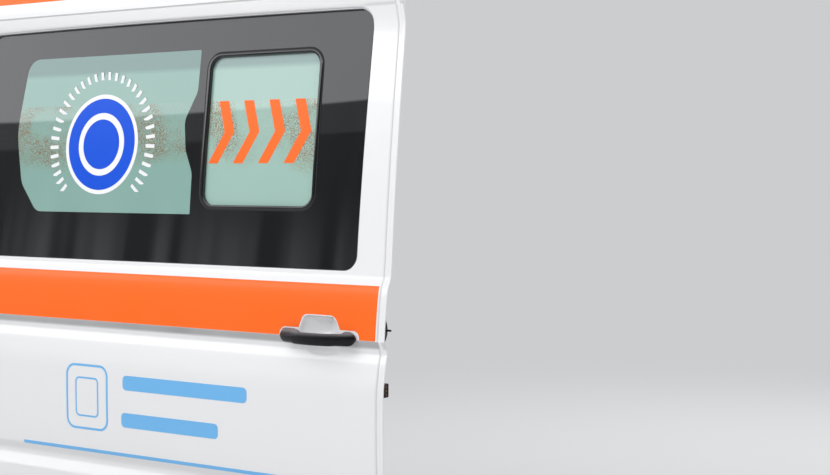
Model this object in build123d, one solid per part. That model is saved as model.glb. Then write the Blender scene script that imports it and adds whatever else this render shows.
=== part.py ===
from build123d import *
import os
from collections import namedtuple

# Sliding side door of a high-roofed van, right-hand side, in millimetres.
# X points forward, Y inboard and Z up. The origin is the centre of the lower load roller.

# Door outline
front_edge_x = 140.0
door_width = 1478.0
bottom_edge_z = -70.0
outermost_skin_y = -260.0
belt_height = 942.0
window_zone_rise = 583.0
brow_rise = 82.0
roof_rise = 373.0
corner_radius = 28.0
smallest_corner = 4.0
reach_outside = 100.0
reach_inside = 320.0

# Sheet metal
sheet = 1.2
hem_margin = 2.0
hem_width = 40.0
door_depth = 60.0
lower_depth = 66.0
top_inset = 114.0
belt_ramp = 62.0
rim_width = 12.0
groove_width = 5.0
groove_depth = 0.5

# Window
front_pillar = 94.0
rear_pillar = 81.0
glass_sill = 16.0
glass_above_brow = 35.0
glass_corner = 48.0
glass_gap = 4.0
glass_inset = 1.0
glass_thickness = 4.0
bond_thickness = 5.0
bond_width = 15.0
bond_margin = 4.0
flange_width = 25.0

# Sliding pane
slider_width = 370.0
slider_below_head = 74.0
slider_from_front = 228.0
slider_from_sill = 131.0
slider_corner = 45.0
slider_rim = 13.0
slider_lap = 5.0
slider_proud = 1.5
slider_depth = 4.0
pane_thickness = 3.2
pane_lap = 7.0
pane_clearance = 0.4
rail_wall = 3.0
rail_overrun = 8.0
catch_width = 24.0
catch_height = 46.0
catch_depth = 11.0
catch_corner = 6.0

# Inside panels
lining_thickness = 4.0
lining_raise = 6.0
lining_border = 42.0
lining_corner = 30.0
lining_gap = 4.0
trim_width = 34.0
trim_thickness = 3.0

# Seal and buffers
seal_border = 14.0
seal_width = 12.0
seal_depth = 14.0
seal_clearance = 5.0
buffer_radius = 8.0
buffer_depth = 12.0
buffer_inset = 22.0
buffer_below_shoulder = 464.0
buffer_above_belt = 428.0

# Outer handle
grip_length = 214.0
grip_height = 33.0
grip_thickness = 15.0
grip_standoff = 44.0
grip_from_front = 79.0
grip_above_shoulder = 3.0
foot_length = 34.0
foot_thickness = 9.0
cup_width = 120.0
cup_height = 94.0
cup_depth = 38.0
cup_corner = 30.0
cup_taper = 22.0
cup_from_front = 128.0
cup_below_shoulder = 42.0
cup_flange = 10.0

# Inner handle and release
pull_length = 260.0
pull_bar = 22.0
pull_standoff = 48.0
pull_from_front = 310.0
pull_below_belt = 242.0
release_width = 74.0
release_height = 150.0
release_thickness = 7.0
release_from_front = 175.0
release_below_belt = 162.0
release_corner = 16.0
lever_width = 34.0
lever_height = 96.0
lever_thickness = 6.0
lever_gap = 3.0
lever_standoff = 14.0
lever_stem_height = 24.0

# Shut face fittings, heights above the bottom edge
wedge_height = 46.0
wedge_above_shoulder = 27.0
rear_wedge_above_belt = 238.0
wedge_setback = 4.0
wedge_low_depth = 5.0
wedge_high_depth = 26.0
pin_shank_radius = 4.0
pin_radius = 2.5
pin_length = 12.0
pin_depth = 16.0
contact_height = 32.0
contact_below_shoulder = 111.0
contact_setback = 2.0
contact_low_depth = 5.0
contact_high_depth = 25.0
contact_pin_radius = 3.0
contact_pin_length = 2.0
contact_pin_pitch = 9.5
lock_height = 110.0
lock_below_shoulder = 234.0
lock_low_depth = 14.0
lock_high_depth = 54.0
lock_thickness = 12.0
lock_mouth = 14.0
lock_mouth_reach = 24.0

# Rollers and their axles
running_clearance = 0.05
side_clearance = 0.3
axle_head = 3.0
load_roller_radius = 20.0
load_roller_width = 14.0
load_axle_radius = 5.0
guide_roller_radius = 12.0
guide_roller_height = 12.0
guide_axle_radius = 4.0
guide_spacing = 80.0
pivot_radius = 6.0
plate = 4.0

# Lower arm
lower_plate_z = 26.0
carriage_length = 104.0
arm_plate_z = 50.0
arm_plate = 6.0
arm_boss_radius = 20.0
arm_root_border = 6.0
arm_root_width = 110.0
arm_flange_bottom_height = 90.0
arm_flange_top_height = 190.0

# Upper arm
upper_arm_reach = 40.0
upper_flange_border = 6.0
upper_flange_width = 80.0
upper_flange_height = 90.0
upper_flange_drop = 48.0
upper_boss_radius = 16.0
upper_roller_radius = 16.0
upper_roller_height = 16.0

# Middle arm
middle_above_shoulder = 16.0
middle_flange_height = 100.0
middle_flange_low_depth = 20.0
ear_plate = 5.0
ear_gap = 58.0
knuckle_radius = 12.0
middle_pivot_depth = 32.0
middle_pivot_from_rear = 12.0
middle_arm_length = 130.0
middle_arm_rise = 20.0
middle_arm_width = 12.0
middle_arm_height = 36.0
middle_plate_length = 64.0
middle_plate_height = 48.0
middle_roller_radius = 15.0
middle_roller_width = 12.0
middle_guide_radius = 10.0
middle_guide_height = 11.0
middle_guide_spacing = 48.0
middle_axle_radius = 4.0

# Heights above the bottom edge
shoulder_below_belt = 148.0
brow_height = belt_height + window_zone_rise
crest_height = brow_height + brow_rise
door_height = crest_height + roof_rise
shoulder_height = belt_height - shoulder_below_belt
grip_centre_height = shoulder_height + grip_above_shoulder
cup_bottom_height = shoulder_height - cup_below_shoulder
pull_centre_height = belt_height - pull_below_belt
release_centre_height = belt_height - release_below_belt
wedge_centre_height = shoulder_height + wedge_above_shoulder
rear_wedge_centre_height = belt_height + rear_wedge_above_belt
contact_centre_height = shoulder_height - contact_below_shoulder
lock_centre_height = shoulder_height - lock_below_shoulder
middle_height = shoulder_height + middle_above_shoulder
buffer_heights = (shoulder_height - buffer_below_shoulder, belt_height + buffer_above_belt)

# Outer skin section, bottom to top
# Columns: height above the bottom edge, inset from the outermost plane
SKIN_SECTION = [
    (0.0, 30.0),
    (30.0, 6.0),
    (90.0, 0.0),
    (330.0, 0.0),
    (380.0, 2.0),
    (425.0, 16.0),
    (453.0, 4.0),
    (508.0, 1.5),
    (shoulder_height - 176.0, 0.0),
    (shoulder_height - 102.0, 2.6),
    (shoulder_height - 49.0, 12.5),
    (shoulder_height - 29.0, 18.5),
    (shoulder_height, 5.0),
    (shoulder_height + 45.0, 9.4),
    (belt_height - 29.0, 20.0),
    (belt_height, 33.0),
    (belt_height + 118.0, 43.5),
    (belt_height + 265.0, 57.4),
    (belt_height + 412.0, 74.0),
    (brow_height, 95.0),
    (crest_height, 72.0),
    (door_height, top_inset),
]


def inset_at(section, height):
    """Inset of a section at a height, in a straight line between its rows."""
    for (low, inset_low), (high, inset_high) in zip(section, section[1:]):
        if height <= high:
            break
    share = (height - low) / (high - low)
    return inset_low + share * (inset_high - inset_low)


# Window glass section: the skin's own lean between belt and brow, carried on past both
window_rows = [row for row in SKIN_SECTION if belt_height <= row[0] <= brow_height]
glass_run_on = 2 * (glass_above_brow + flange_width)
PANE_SECTION = [
    (belt_height - glass_run_on, inset_at(window_rows, belt_height - glass_run_on)),
    *window_rows,
    (brow_height + glass_run_on, inset_at(window_rows, brow_height + glass_run_on)),
]

# Inner face of the inner panel
INNER_SECTION = [
    (0.0, lower_depth),
    (belt_height - belt_ramp, lower_depth),
    (belt_height, inset_at(SKIN_SECTION, belt_height) + door_depth),
    (brow_height, inset_at(SKIN_SECTION, brow_height) + door_depth),
    (door_height, top_inset + door_depth),
]

rear_edge_x = front_edge_x - door_width
top_edge_z = bottom_edge_z + door_height
outside_y = outermost_skin_y - reach_outside
inside_y = outermost_skin_y + reach_inside
glass_sill_z = bottom_edge_z + belt_height + glass_sill
flange_depth = glass_inset + glass_thickness + bond_thickness
tray_front_x = front_edge_x - hem_width
tray_rear_x = rear_edge_x + hem_width

Outline = namedtuple("Outline", "x_low x_high z_low z_high corner")

door_outline = Outline(rear_edge_x, front_edge_x, bottom_edge_z, top_edge_z, corner_radius)
glass_outline = Outline(
    rear_edge_x + rear_pillar,
    front_edge_x - front_pillar,
    glass_sill_z,
    bottom_edge_z + brow_height + glass_above_brow,
    glass_corner,
)
slider_outline = Outline(
    front_edge_x - slider_from_front - slider_width,
    front_edge_x - slider_from_front,
    glass_sill_z + slider_from_sill,
    glass_outline.z_high - slider_below_head,
    slider_corner,
)


def grown(outline, by):
    """The same outline, moved outwards by a distance, or inwards where it is negative."""
    return Outline(
        outline.x_low - by,
        outline.x_high + by,
        outline.z_low - by,
        outline.z_high + by,
        max(outline.corner + by, smallest_corner),
    )


def prism(outline):
    """A block with a round-cornered outline seen from the side, right through the door."""
    face = RectangleRounded(outline.x_high - outline.x_low, outline.z_high - outline.z_low, outline.corner)
    placed = Pos((outline.x_low + outline.x_high) / 2, (outline.z_low + outline.z_high) / 2) * face
    return Pos(0, outside_y, 0) * extrude(Plane.XZ * placed, amount=outside_y - inside_y)


def ring(outer, inner):
    """A block between two outlines, right through the door."""
    return prism(outer) - prism(inner)


def section_points(section, shift, low, high):
    """Points of a section between two heights, moved inboard by a distance."""
    rows = [(low, inset_at(section, low))]
    rows += [row for row in section if low < row[0] < high]
    rows += [(high, inset_at(section, high))]
    return [(outermost_skin_y + inset + shift, bottom_edge_z + height) for height, inset in rows]


def slab(near, near_shift, far, far_shift, low=0.0, high=door_height):
    """Everything between two sections, over the whole width of the door."""
    points = section_points(near, near_shift, low, high)
    points += reversed(section_points(far, far_shift, low, high))
    face = make_face(Polyline(*points, close=True))
    return Pos(rear_edge_x, 0, 0) * extrude(Plane.YZ * face, amount=door_width)


def window_slab(near_shift, far_shift):
    """Everything between two depths behind the window's own curve."""
    low = belt_height - glass_run_on / 2
    high = brow_height + glass_run_on / 2
    return slab(PANE_SECTION, near_shift, PANE_SECTION, far_shift, low, high)


def block(x_low, x_high, y_low, y_high, z_low, z_high):
    """A plain block given by its faces."""
    centre = Pos((x_low + x_high) / 2, (y_low + y_high) / 2, (z_low + z_high) / 2)
    return centre * Box(x_high - x_low, y_high - y_low, z_high - z_low)


def upright(radius, x, y, z_low, z_high):
    """A round bar along Z."""
    return Pos(x, y, (z_low + z_high) / 2) * Cylinder(radius, z_high - z_low)


def crosswise(radius, x, z, y_low, y_high):
    """A round bar along Y."""
    return Pos(x, (y_low + y_high) / 2, z) * Rot(90, 0, 0) * Cylinder(radius, y_high - y_low)


def lengthwise(radius, y, z, x_low, x_high):
    """A round bar along X."""
    return Pos((x_low + x_high) / 2, y, z) * Rot(0, 90, 0) * Cylinder(radius, x_high - x_low)


def skin_y(height, depth=0.0):
    """Y of the outer skin at a height, or of a point that lies deeper."""
    return outermost_skin_y + inset_at(SKIN_SECTION, height) + depth


def inner_y(height, depth=0.0):
    """Y of the inner panel's inner face at a height, or of a point further inboard."""
    return outermost_skin_y + inset_at(INNER_SECTION, height) + depth


# Outer skin with its window cut-out and edge grooves, and the handle cup
cup_low_z = bottom_edge_z + cup_bottom_height
cup_outline = Outline(
    front_edge_x - cup_from_front - cup_width,
    front_edge_x - cup_from_front,
    cup_low_z,
    cup_low_z + cup_height,
    cup_corner,
)


def cup_block(wall):
    """The handle cup as a tapered block, from outside the skin to its floor."""
    face = RectangleRounded(cup_width + 2 * wall, cup_height + 2 * wall, cup_corner + wall)
    centre_x = (cup_outline.x_low + cup_outline.x_high) / 2
    centre_z = (cup_outline.z_low + cup_outline.z_high) / 2
    mouth_y = skin_y(cup_bottom_height + cup_height)
    placed = Plane.XZ * Pos(centre_x, centre_z) * face
    floor = extrude(placed, amount=-(cup_depth + wall), taper=cup_taper)
    mouth = extrude(placed, amount=cup_depth)
    return Pos(0, mouth_y, 0) * (floor + mouth)


def outer_skin():
    skin = slab(SKIN_SECTION, 0.0, SKIN_SECTION, sheet) & prism(door_outline)
    skin -= prism(grown(glass_outline, glass_gap))
    skin -= cup_block(0.0)
    groove = slab(SKIN_SECTION, -sheet, SKIN_SECTION, groove_depth)
    for x_low in (front_edge_x - rim_width - groove_width, rear_edge_x + rim_width):
        x_high = x_low + groove_width
        skin -= groove & block(x_low, x_high, outside_y, inside_y, bottom_edge_z, top_edge_z)
    return skin


def handle_cup():
    """The cup behind the outer grip, a pressing with a flange against the back of the skin."""
    wall = cup_block(sheet) & slab(SKIN_SECTION, sheet, SKIN_SECTION, door_depth)
    rim = prism(grown(cup_outline, sheet + cup_flange))
    flange = slab(SKIN_SECTION, sheet, SKIN_SECTION, 2 * sheet) & rim
    return wall + flange - cup_block(0.0)


def inner_panel():
    tray_outline = grown(door_outline, -hem_width)
    window_hole = grown(glass_outline, -flange_width)
    recess = grown(glass_outline, glass_gap)
    panel = slab(SKIN_SECTION, sheet, INNER_SECTION, 0.0) & prism(tray_outline)
    panel -= slab(SKIN_SECTION, 0.0, INNER_SECTION, -sheet) & prism(grown(tray_outline, -sheet))
    hem = slab(SKIN_SECTION, sheet, SKIN_SECTION, 2 * sheet)
    panel += hem & ring(grown(door_outline, -hem_margin), grown(tray_outline, -sheet))
    panel -= prism(window_hole)
    seat = window_slab(flange_depth, flange_depth + sheet)
    panel += seat & ring(grown(recess, sheet), window_hole)
    low = belt_height - glass_run_on / 2
    high = brow_height + glass_run_on / 2
    recess_wall = slab(SKIN_SECTION, sheet, PANE_SECTION, flange_depth + sheet, low, high)
    panel += recess_wall & ring(grown(recess, sheet), recess)
    reveal_wall = slab(PANE_SECTION, flange_depth, INNER_SECTION, 0.0, low, high)
    panel += reveal_wall & ring(grown(window_hole, sheet), window_hole)
    return panel


# Fixed glass, its bond and the sliding pane
glass_back = glass_inset + glass_thickness
slider_hole = grown(slider_outline, -slider_lap)
slider_clear = grown(slider_outline, -slider_rim)
pane_outline = grown(slider_clear, pane_lap)
pane_front = glass_back + slider_depth
pane_back = pane_front + pane_thickness
rail_depth = pane_back + rail_wall


def window_glass():
    return (window_slab(glass_inset, glass_back) & prism(glass_outline)) - prism(slider_hole)


def window_bond():
    bead = ring(grown(glass_outline, -bond_margin), grown(glass_outline, -bond_margin - bond_width))
    return window_slab(glass_back, flange_depth) & bead


def slider_frame():
    lip = window_slab(glass_inset - slider_proud, glass_inset) & ring(slider_outline, slider_clear)
    sleeve = window_slab(glass_inset, pane_front - pane_clearance) & ring(slider_hole, slider_clear)
    return lip + sleeve


def slider_pane():
    return window_slab(pane_front, pane_back) & prism(pane_outline)


def slider_rails():
    rail_rear_x = pane_outline.x_low - slider_width + slider_rim
    rail_front_x = pane_outline.x_high + rail_overrun
    groove = window_slab(pane_front - pane_clearance, pane_back + pane_clearance)
    rails = None
    for edge_z, away in ((pane_outline.z_low, -1), (pane_outline.z_high, 1)):
        inner_z = edge_z - away * pane_lap
        stop_z = edge_z + away * pane_clearance
        bar_low_z, bar_high_z = sorted((inner_z, stop_z + away * rail_wall))
        slot_low_z, slot_high_z = sorted((inner_z, stop_z))
        bar = block(rail_rear_x, rail_front_x, outside_y, inside_y, bar_low_z, bar_high_z)
        slot = block(rail_rear_x, rail_front_x, outside_y, inside_y, slot_low_z, slot_high_z)
        rail = (window_slab(glass_back, rail_depth) & bar) - (groove & slot)
        rail -= prism(slider_hole) & window_slab(glass_back, pane_front - pane_clearance)
        rails = rail if rails is None else rails + rail
    return rails


def slider_catch():
    centre_z = (pane_outline.z_low + pane_outline.z_high) / 2
    high_x = slider_clear.x_high - pane_lap
    face = Outline(
        high_x - catch_width,
        high_x,
        centre_z - catch_height / 2,
        centre_z + catch_height / 2,
        catch_corner,
    )
    return window_slab(pane_back, pane_back + catch_depth) & prism(face)


# Linings on the inner face
seal_outline = Outline(
    tray_rear_x + seal_border,
    tray_front_x - seal_border,
    bottom_edge_z + arm_flange_top_height + seal_clearance,
    top_edge_z - upper_flange_drop - upper_flange_height - seal_clearance,
    lining_corner + seal_width,
)
lining_area = grown(seal_outline, -seal_width - lining_gap)
lining_outline = lining_area._replace(z_high=glass_sill_z + flange_width - trim_width - lining_gap)
upper_lining_outline = lining_area._replace(
    z_low=glass_outline.z_high - flange_width + trim_width + lining_gap
)


def lining(outline):
    """A moulded panel with a raised field that is hollow behind."""
    field = grown(outline, -lining_border)
    panel = slab(INNER_SECTION, 0.0, INNER_SECTION, lining_thickness) & prism(outline)
    panel += slab(INNER_SECTION, 0.0, INNER_SECTION, lining_thickness + lining_raise) & prism(field)
    panel -= slab(INNER_SECTION, 0.0, INNER_SECTION, lining_raise) & prism(grown(field, -lining_thickness))
    return panel


def window_trim():
    window_hole = grown(glass_outline, -flange_width)
    daylight = grown(window_hole, -trim_thickness)
    low = belt_height - glass_run_on / 2
    high = brow_height + glass_run_on / 2
    face = slab(INNER_SECTION, 0.0, INNER_SECTION, trim_thickness, low, high)
    trim = face & ring(grown(window_hole, trim_width), daylight)
    reveal = slab(PANE_SECTION, flange_depth + sheet, INNER_SECTION, trim_thickness, low, high)
    trim += reveal & ring(window_hole, daylight)
    return trim


# Seal around the inner face, and the rubber buffers on the hem
def perimeter_seal():
    band = slab(INNER_SECTION, 0.0, INNER_SECTION, seal_depth)
    return band & ring(seal_outline, grown(seal_outline, -seal_width))


def bump_stops():
    stops = None
    for x in (rear_edge_x + buffer_inset, front_edge_x - buffer_inset):
        for height in buffer_heights:
            z = bottom_edge_z + height
            disc = crosswise(buffer_radius, x, z, outside_y, inside_y)
            stop = slab(SKIN_SECTION, 2 * sheet, SKIN_SECTION, 2 * sheet + buffer_depth) & disc
            stops = stop if stops is None else stops + stop
    return stops


# Outer handle
grip_front_x = front_edge_x - grip_from_front
grip_rear_x = grip_front_x - grip_length
grip_z = bottom_edge_z + grip_centre_height
grip_back_y = skin_y(grip_centre_height) - foot_thickness


def outer_grip():
    outer_y = skin_y(grip_centre_height) - grip_standoff
    middle_x = (grip_rear_x + grip_front_x) / 2
    outer_arc = ThreePointArc(
        (grip_rear_x, grip_back_y - grip_thickness / 2),
        (middle_x, outer_y),
        (grip_front_x, grip_back_y - grip_thickness / 2),
    )
    inner_arc = ThreePointArc(
        (grip_front_x - foot_length, grip_back_y),
        (middle_x, outer_y + grip_thickness),
        (grip_rear_x + foot_length, grip_back_y),
    )
    edges = [
        outer_arc,
        Line(outer_arc @ 1, (grip_front_x, grip_back_y)),
        Line((grip_front_x, grip_back_y), inner_arc @ 0),
        inner_arc,
        Line(inner_arc @ 1, (grip_rear_x, grip_back_y)),
        Line((grip_rear_x, grip_back_y), outer_arc @ 0),
    ]
    return Pos(0, 0, grip_z - grip_height / 2) * extrude(make_face(edges), amount=grip_height)


def grip_feet():
    feet = None
    outside = slab(SKIN_SECTION, -grip_standoff, SKIN_SECTION, 0.0)
    for x_low in (grip_rear_x, grip_front_x - foot_length):
        pad = block(
            x_low,
            x_low + foot_length,
            grip_back_y,
            inside_y,
            grip_z - grip_height / 2,
            grip_z + grip_height / 2,
        )
        foot = outside & pad
        feet = foot if feet is None else feet + foot
    return feet


# Inner pull handle and release
def pull_handle():
    x = front_edge_x - pull_from_front
    z = bottom_edge_z + pull_centre_height
    seat_y = inner_y(pull_centre_height, lining_thickness + lining_raise)
    outer = block(
        x - pull_bar / 2,
        x + pull_bar / 2,
        seat_y,
        seat_y + pull_standoff,
        z - pull_length / 2,
        z + pull_length / 2,
    )
    gap = block(
        x - pull_bar,
        x + pull_bar,
        seat_y,
        seat_y + pull_standoff - pull_bar,
        z - pull_length / 2 + pull_bar,
        z + pull_length / 2 - pull_bar,
    )
    return outer - gap


release_x = front_edge_x - release_from_front
release_z = bottom_edge_z + release_centre_height
release_seat_y = inner_y(release_centre_height, lining_thickness + lining_raise)


def side_plate(x, z, width, height, corner, y_low, y_high):
    """A round-cornered plate that faces the cabin."""
    edges = Outline(x - width / 2, x + width / 2, z - height / 2, z + height / 2, corner)
    return prism(edges) & block(edges.x_low, edges.x_high, y_low, y_high, edges.z_low, edges.z_high)


def release_bezel():
    seat = release_seat_y
    bezel = side_plate(
        release_x, release_z, release_width, release_height, release_corner, seat, seat + release_thickness
    )
    hollow = side_plate(
        release_x,
        release_z,
        lever_width + 2 * lever_gap,
        lever_height + 2 * lever_gap,
        release_corner / 2,
        seat + lever_gap,
        seat + release_thickness,
    )
    return bezel - hollow


def release_lever():
    base_y = release_seat_y + lever_gap
    paddle_y = release_seat_y + release_thickness + lever_standoff
    stem_z = release_z + lever_height / 2 - lever_stem_height / 2
    stem = side_plate(release_x, stem_z, lever_width, lever_stem_height, smallest_corner, base_y, paddle_y)
    paddle = side_plate(
        release_x,
        release_z,
        lever_width,
        lever_height,
        release_corner / 2,
        paddle_y,
        paddle_y + lever_thickness,
    )
    return stem + paddle


# Shut face fittings
wedge_z = bottom_edge_z + wedge_centre_height
wedge_nose_x = front_edge_x - wedge_setback
locating_pin_y = skin_y(wedge_centre_height, pin_depth)


def front_wedge():
    """Black guide wedge, a half-round nose on the front shut face."""
    low_y = skin_y(wedge_centre_height, wedge_low_depth)
    high_y = skin_y(wedge_centre_height, wedge_high_depth)
    low_z = wedge_z - wedge_height / 2
    high_z = wedge_z + wedge_height / 2
    shoulder_x = (tray_front_x + wedge_nose_x) / 2
    edges = [
        Line((tray_front_x, low_z), (shoulder_x, low_z)),
        ThreePointArc((shoulder_x, low_z), (wedge_nose_x, wedge_z), (shoulder_x, high_z)),
        Line((shoulder_x, high_z), (tray_front_x, high_z)),
        Line((tray_front_x, high_z), (tray_front_x, low_z)),
    ]
    nose = Pos(0, low_y, 0) * extrude(Plane.XZ * make_face(edges), amount=low_y - high_y)
    return nose - lengthwise(pin_shank_radius, locating_pin_y, wedge_z, tray_front_x, front_edge_x)


def locating_pin():
    pin = lengthwise(pin_shank_radius, locating_pin_y, wedge_z, tray_front_x, wedge_nose_x)
    return pin + lengthwise(pin_radius, locating_pin_y, wedge_z, wedge_nose_x, wedge_nose_x + pin_length)


contact_z = bottom_edge_z + contact_centre_height
contact_face_x = front_edge_x - contact_setback
contact_y = skin_y(contact_centre_height, (contact_low_depth + contact_high_depth) / 2)


def contact_block():
    body = block(
        tray_front_x,
        contact_face_x,
        skin_y(contact_centre_height, contact_low_depth),
        skin_y(contact_centre_height, contact_high_depth),
        contact_z - contact_height / 2,
        contact_z + contact_height / 2,
    )
    for step in (-1, 0, 1):
        z = contact_z + step * contact_pin_pitch
        body -= lengthwise(contact_pin_radius, contact_y, z, tray_front_x, contact_face_x)
    return body


def contact_pins():
    pins = None
    for step in (-1, 0, 1):
        z = contact_z + step * contact_pin_pitch
        pin = lengthwise(contact_pin_radius, contact_y, z, tray_front_x, contact_face_x + contact_pin_length)
        pins = pin if pins is None else pins + pin
    return pins


def lock(wall_x, away):
    """A latch case on a shut face, with an open mouth for the striker."""
    z = bottom_edge_z + lock_centre_height
    low_y = skin_y(lock_centre_height, lock_low_depth)
    high_y = skin_y(lock_centre_height, lock_high_depth)
    face_x = wall_x + away * lock_thickness
    case = block(
        min(wall_x, face_x), max(wall_x, face_x), low_y, high_y, z - lock_height / 2, z + lock_height / 2
    )
    floor_x = wall_x + away * plate
    mouth = block(
        min(floor_x, face_x),
        max(floor_x, face_x),
        high_y - lock_mouth_reach,
        high_y,
        z - lock_mouth / 2,
        z + lock_mouth / 2,
    )
    return case - mouth


def rear_wedge():
    z = bottom_edge_z + rear_wedge_centre_height
    return block(
        rear_edge_x + wedge_setback,
        tray_rear_x,
        skin_y(rear_wedge_centre_height, wedge_low_depth),
        skin_y(rear_wedge_centre_height, wedge_high_depth),
        z - wedge_height / 2,
        z + wedge_height / 2,
    )


# Lower arm, carriage and rollers
carriage_side_low_y = load_roller_width / 2 + plate
carriage_side_high_y = carriage_side_low_y + plate
guide_low_z = lower_plate_z + plate + side_clearance
guide_high_z = guide_low_z + guide_roller_height
carriage_low_y = -guide_roller_radius


def load_roller():
    tread = crosswise(load_roller_radius, 0, 0, -load_roller_width / 2, load_roller_width / 2)
    bore = load_axle_radius + running_clearance
    return tread - crosswise(bore, 0, 0, -load_roller_width, load_roller_width)


def lower_carriage():
    length = carriage_length
    top = block(
        -length / 2, length / 2, carriage_low_y, carriage_side_high_y, lower_plate_z, lower_plate_z + plate
    )
    side = block(
        -load_roller_radius,
        load_roller_radius,
        carriage_side_low_y,
        carriage_side_high_y,
        -load_roller_radius / 2,
        lower_plate_z,
    )
    boss_y = load_roller_width / 2 + side_clearance
    boss = crosswise(load_axle_radius + axle_head, 0, 0, boss_y, carriage_side_low_y)
    axle = crosswise(load_axle_radius, 0, 0, -boss_y, carriage_side_high_y)
    head = crosswise(load_axle_radius + axle_head, 0, 0, -boss_y - axle_head, -boss_y)
    carriage = top + side + boss + axle + head
    for x in (-guide_spacing / 2, guide_spacing / 2):
        carriage += upright(guide_axle_radius, x, 0, lower_plate_z, guide_high_z + side_clearance)
        carriage += upright(
            guide_axle_radius + axle_head,
            x,
            0,
            guide_high_z + side_clearance,
            guide_high_z + side_clearance + axle_head,
        )
    collar_top = arm_plate_z - side_clearance
    carriage += upright(pivot_radius + plate, 0, 0, lower_plate_z, collar_top)
    carriage += upright(pivot_radius, 0, 0, collar_top, arm_plate_z + arm_plate + side_clearance)
    carriage += upright(
        pivot_radius + plate,
        0,
        0,
        arm_plate_z + arm_plate + side_clearance,
        arm_plate_z + arm_plate + side_clearance + axle_head,
    )
    return carriage


def guide_roller(x):
    roller = upright(guide_roller_radius, x, 0, guide_low_z, guide_high_z)
    return roller - upright(guide_axle_radius + running_clearance, x, 0, guide_low_z, guide_high_z)


def lower_arm():
    seat_y = inner_y(arm_flange_bottom_height)
    root_front_x = tray_front_x - arm_root_border
    root_rear_x = root_front_x - arm_root_width
    outline = [
        (root_rear_x, seat_y),
        (root_front_x, seat_y),
        (arm_boss_radius, 0),
        (-arm_boss_radius, 0),
    ]
    web = Pos(0, 0, arm_plate_z) * extrude(make_face(Polyline(*outline, close=True)), amount=arm_plate)
    arm = web + upright(arm_boss_radius, 0, 0, arm_plate_z, arm_plate_z + arm_plate)
    arm += block(
        root_rear_x,
        root_front_x,
        seat_y,
        seat_y + arm_plate,
        bottom_edge_z + arm_flange_bottom_height,
        bottom_edge_z + arm_flange_top_height,
    )
    return arm - upright(pivot_radius + running_clearance, 0, 0, arm_plate_z, arm_plate_z + arm_plate)


# Upper arm and its roller
upper_x = tray_front_x - upper_flange_border - upper_flange_width / 2
upper_arm_top_z = top_edge_z - upper_flange_drop
upper_roller_y = inner_y(door_height) + upper_arm_reach + upper_boss_radius


def upper_arm():
    flange = Outline(
        upper_x - upper_flange_width / 2,
        upper_x + upper_flange_width / 2,
        upper_arm_top_z - upper_flange_height,
        upper_arm_top_z,
        smallest_corner,
    )
    arm = slab(INNER_SECTION, 0.0, INNER_SECTION, arm_plate) & prism(flange)
    web_low_y = inner_y(door_height - upper_flange_drop, arm_plate / 2)
    outline = [
        (flange.x_low + smallest_corner, web_low_y),
        (flange.x_high - smallest_corner, web_low_y),
        (upper_x + upper_boss_radius, upper_roller_y),
        (upper_x - upper_boss_radius, upper_roller_y),
    ]
    web_z = upper_arm_top_z - arm_plate
    arm += Pos(0, 0, web_z) * extrude(make_face(Polyline(*outline, close=True)), amount=arm_plate)
    arm += upright(upper_boss_radius, upper_x, upper_roller_y, web_z, upper_arm_top_z)
    roller_low_z = web_z - side_clearance - upper_roller_height
    arm += upright(guide_axle_radius, upper_x, upper_roller_y, roller_low_z - side_clearance, web_z)
    arm += upright(
        guide_axle_radius + axle_head,
        upper_x,
        upper_roller_y,
        roller_low_z - side_clearance - axle_head,
        roller_low_z - side_clearance,
    )
    return arm


def upper_roller():
    high_z = upper_arm_top_z - arm_plate - side_clearance
    low_z = high_z - upper_roller_height
    roller = upright(upper_roller_radius, upper_x, upper_roller_y, low_z, high_z)
    return roller - upright(guide_axle_radius + running_clearance, upper_x, upper_roller_y, low_z, high_z)


# Middle bracket, swivelling arm and rollers
middle_z = bottom_edge_z + middle_height
middle_seat_y = outermost_skin_y + lower_depth
pivot_x = tray_rear_x - middle_pivot_from_rear
pivot_y = middle_seat_y + middle_pivot_depth
carriage_x = pivot_x - middle_arm_length
carriage_y = pivot_y + middle_arm_rise
middle_roller_low_y = carriage_y + plate
middle_roller_high_y = middle_roller_low_y + middle_roller_width
middle_plate_top_z = middle_z + middle_plate_height / 2
middle_roller_z = middle_z - middle_plate_height / 2 + middle_roller_radius


def middle_bracket():
    flange_low_y = skin_y(middle_height, middle_flange_low_depth)
    low_z = middle_z - middle_flange_height / 2
    high_z = middle_z + middle_flange_height / 2
    bracket = block(tray_rear_x - ear_plate, tray_rear_x, flange_low_y, middle_seat_y, low_z, high_z)
    for ear_z in (middle_z - ear_gap / 2 - ear_plate, middle_z + ear_gap / 2):
        outline = [
            (tray_rear_x - ear_plate, flange_low_y),
            (tray_rear_x, flange_low_y),
            (tray_rear_x, pivot_y),
            (pivot_x - knuckle_radius, pivot_y),
        ]
        ear = extrude(make_face(Polyline(*outline, close=True)), amount=ear_plate)
        bracket += Pos(0, 0, ear_z) * ear
        bracket += upright(knuckle_radius, pivot_x, pivot_y, ear_z, ear_z + ear_plate)
    return bracket - upright(pivot_radius, pivot_x, pivot_y, low_z, high_z)


def middle_pin():
    reach = ear_gap / 2 + ear_plate
    high_z = middle_z + reach
    pin = upright(pivot_radius, pivot_x, pivot_y, middle_z - reach - axle_head, high_z)
    return pin + upright(pivot_radius + axle_head, pivot_x, pivot_y, high_z, high_z + axle_head)


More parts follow.
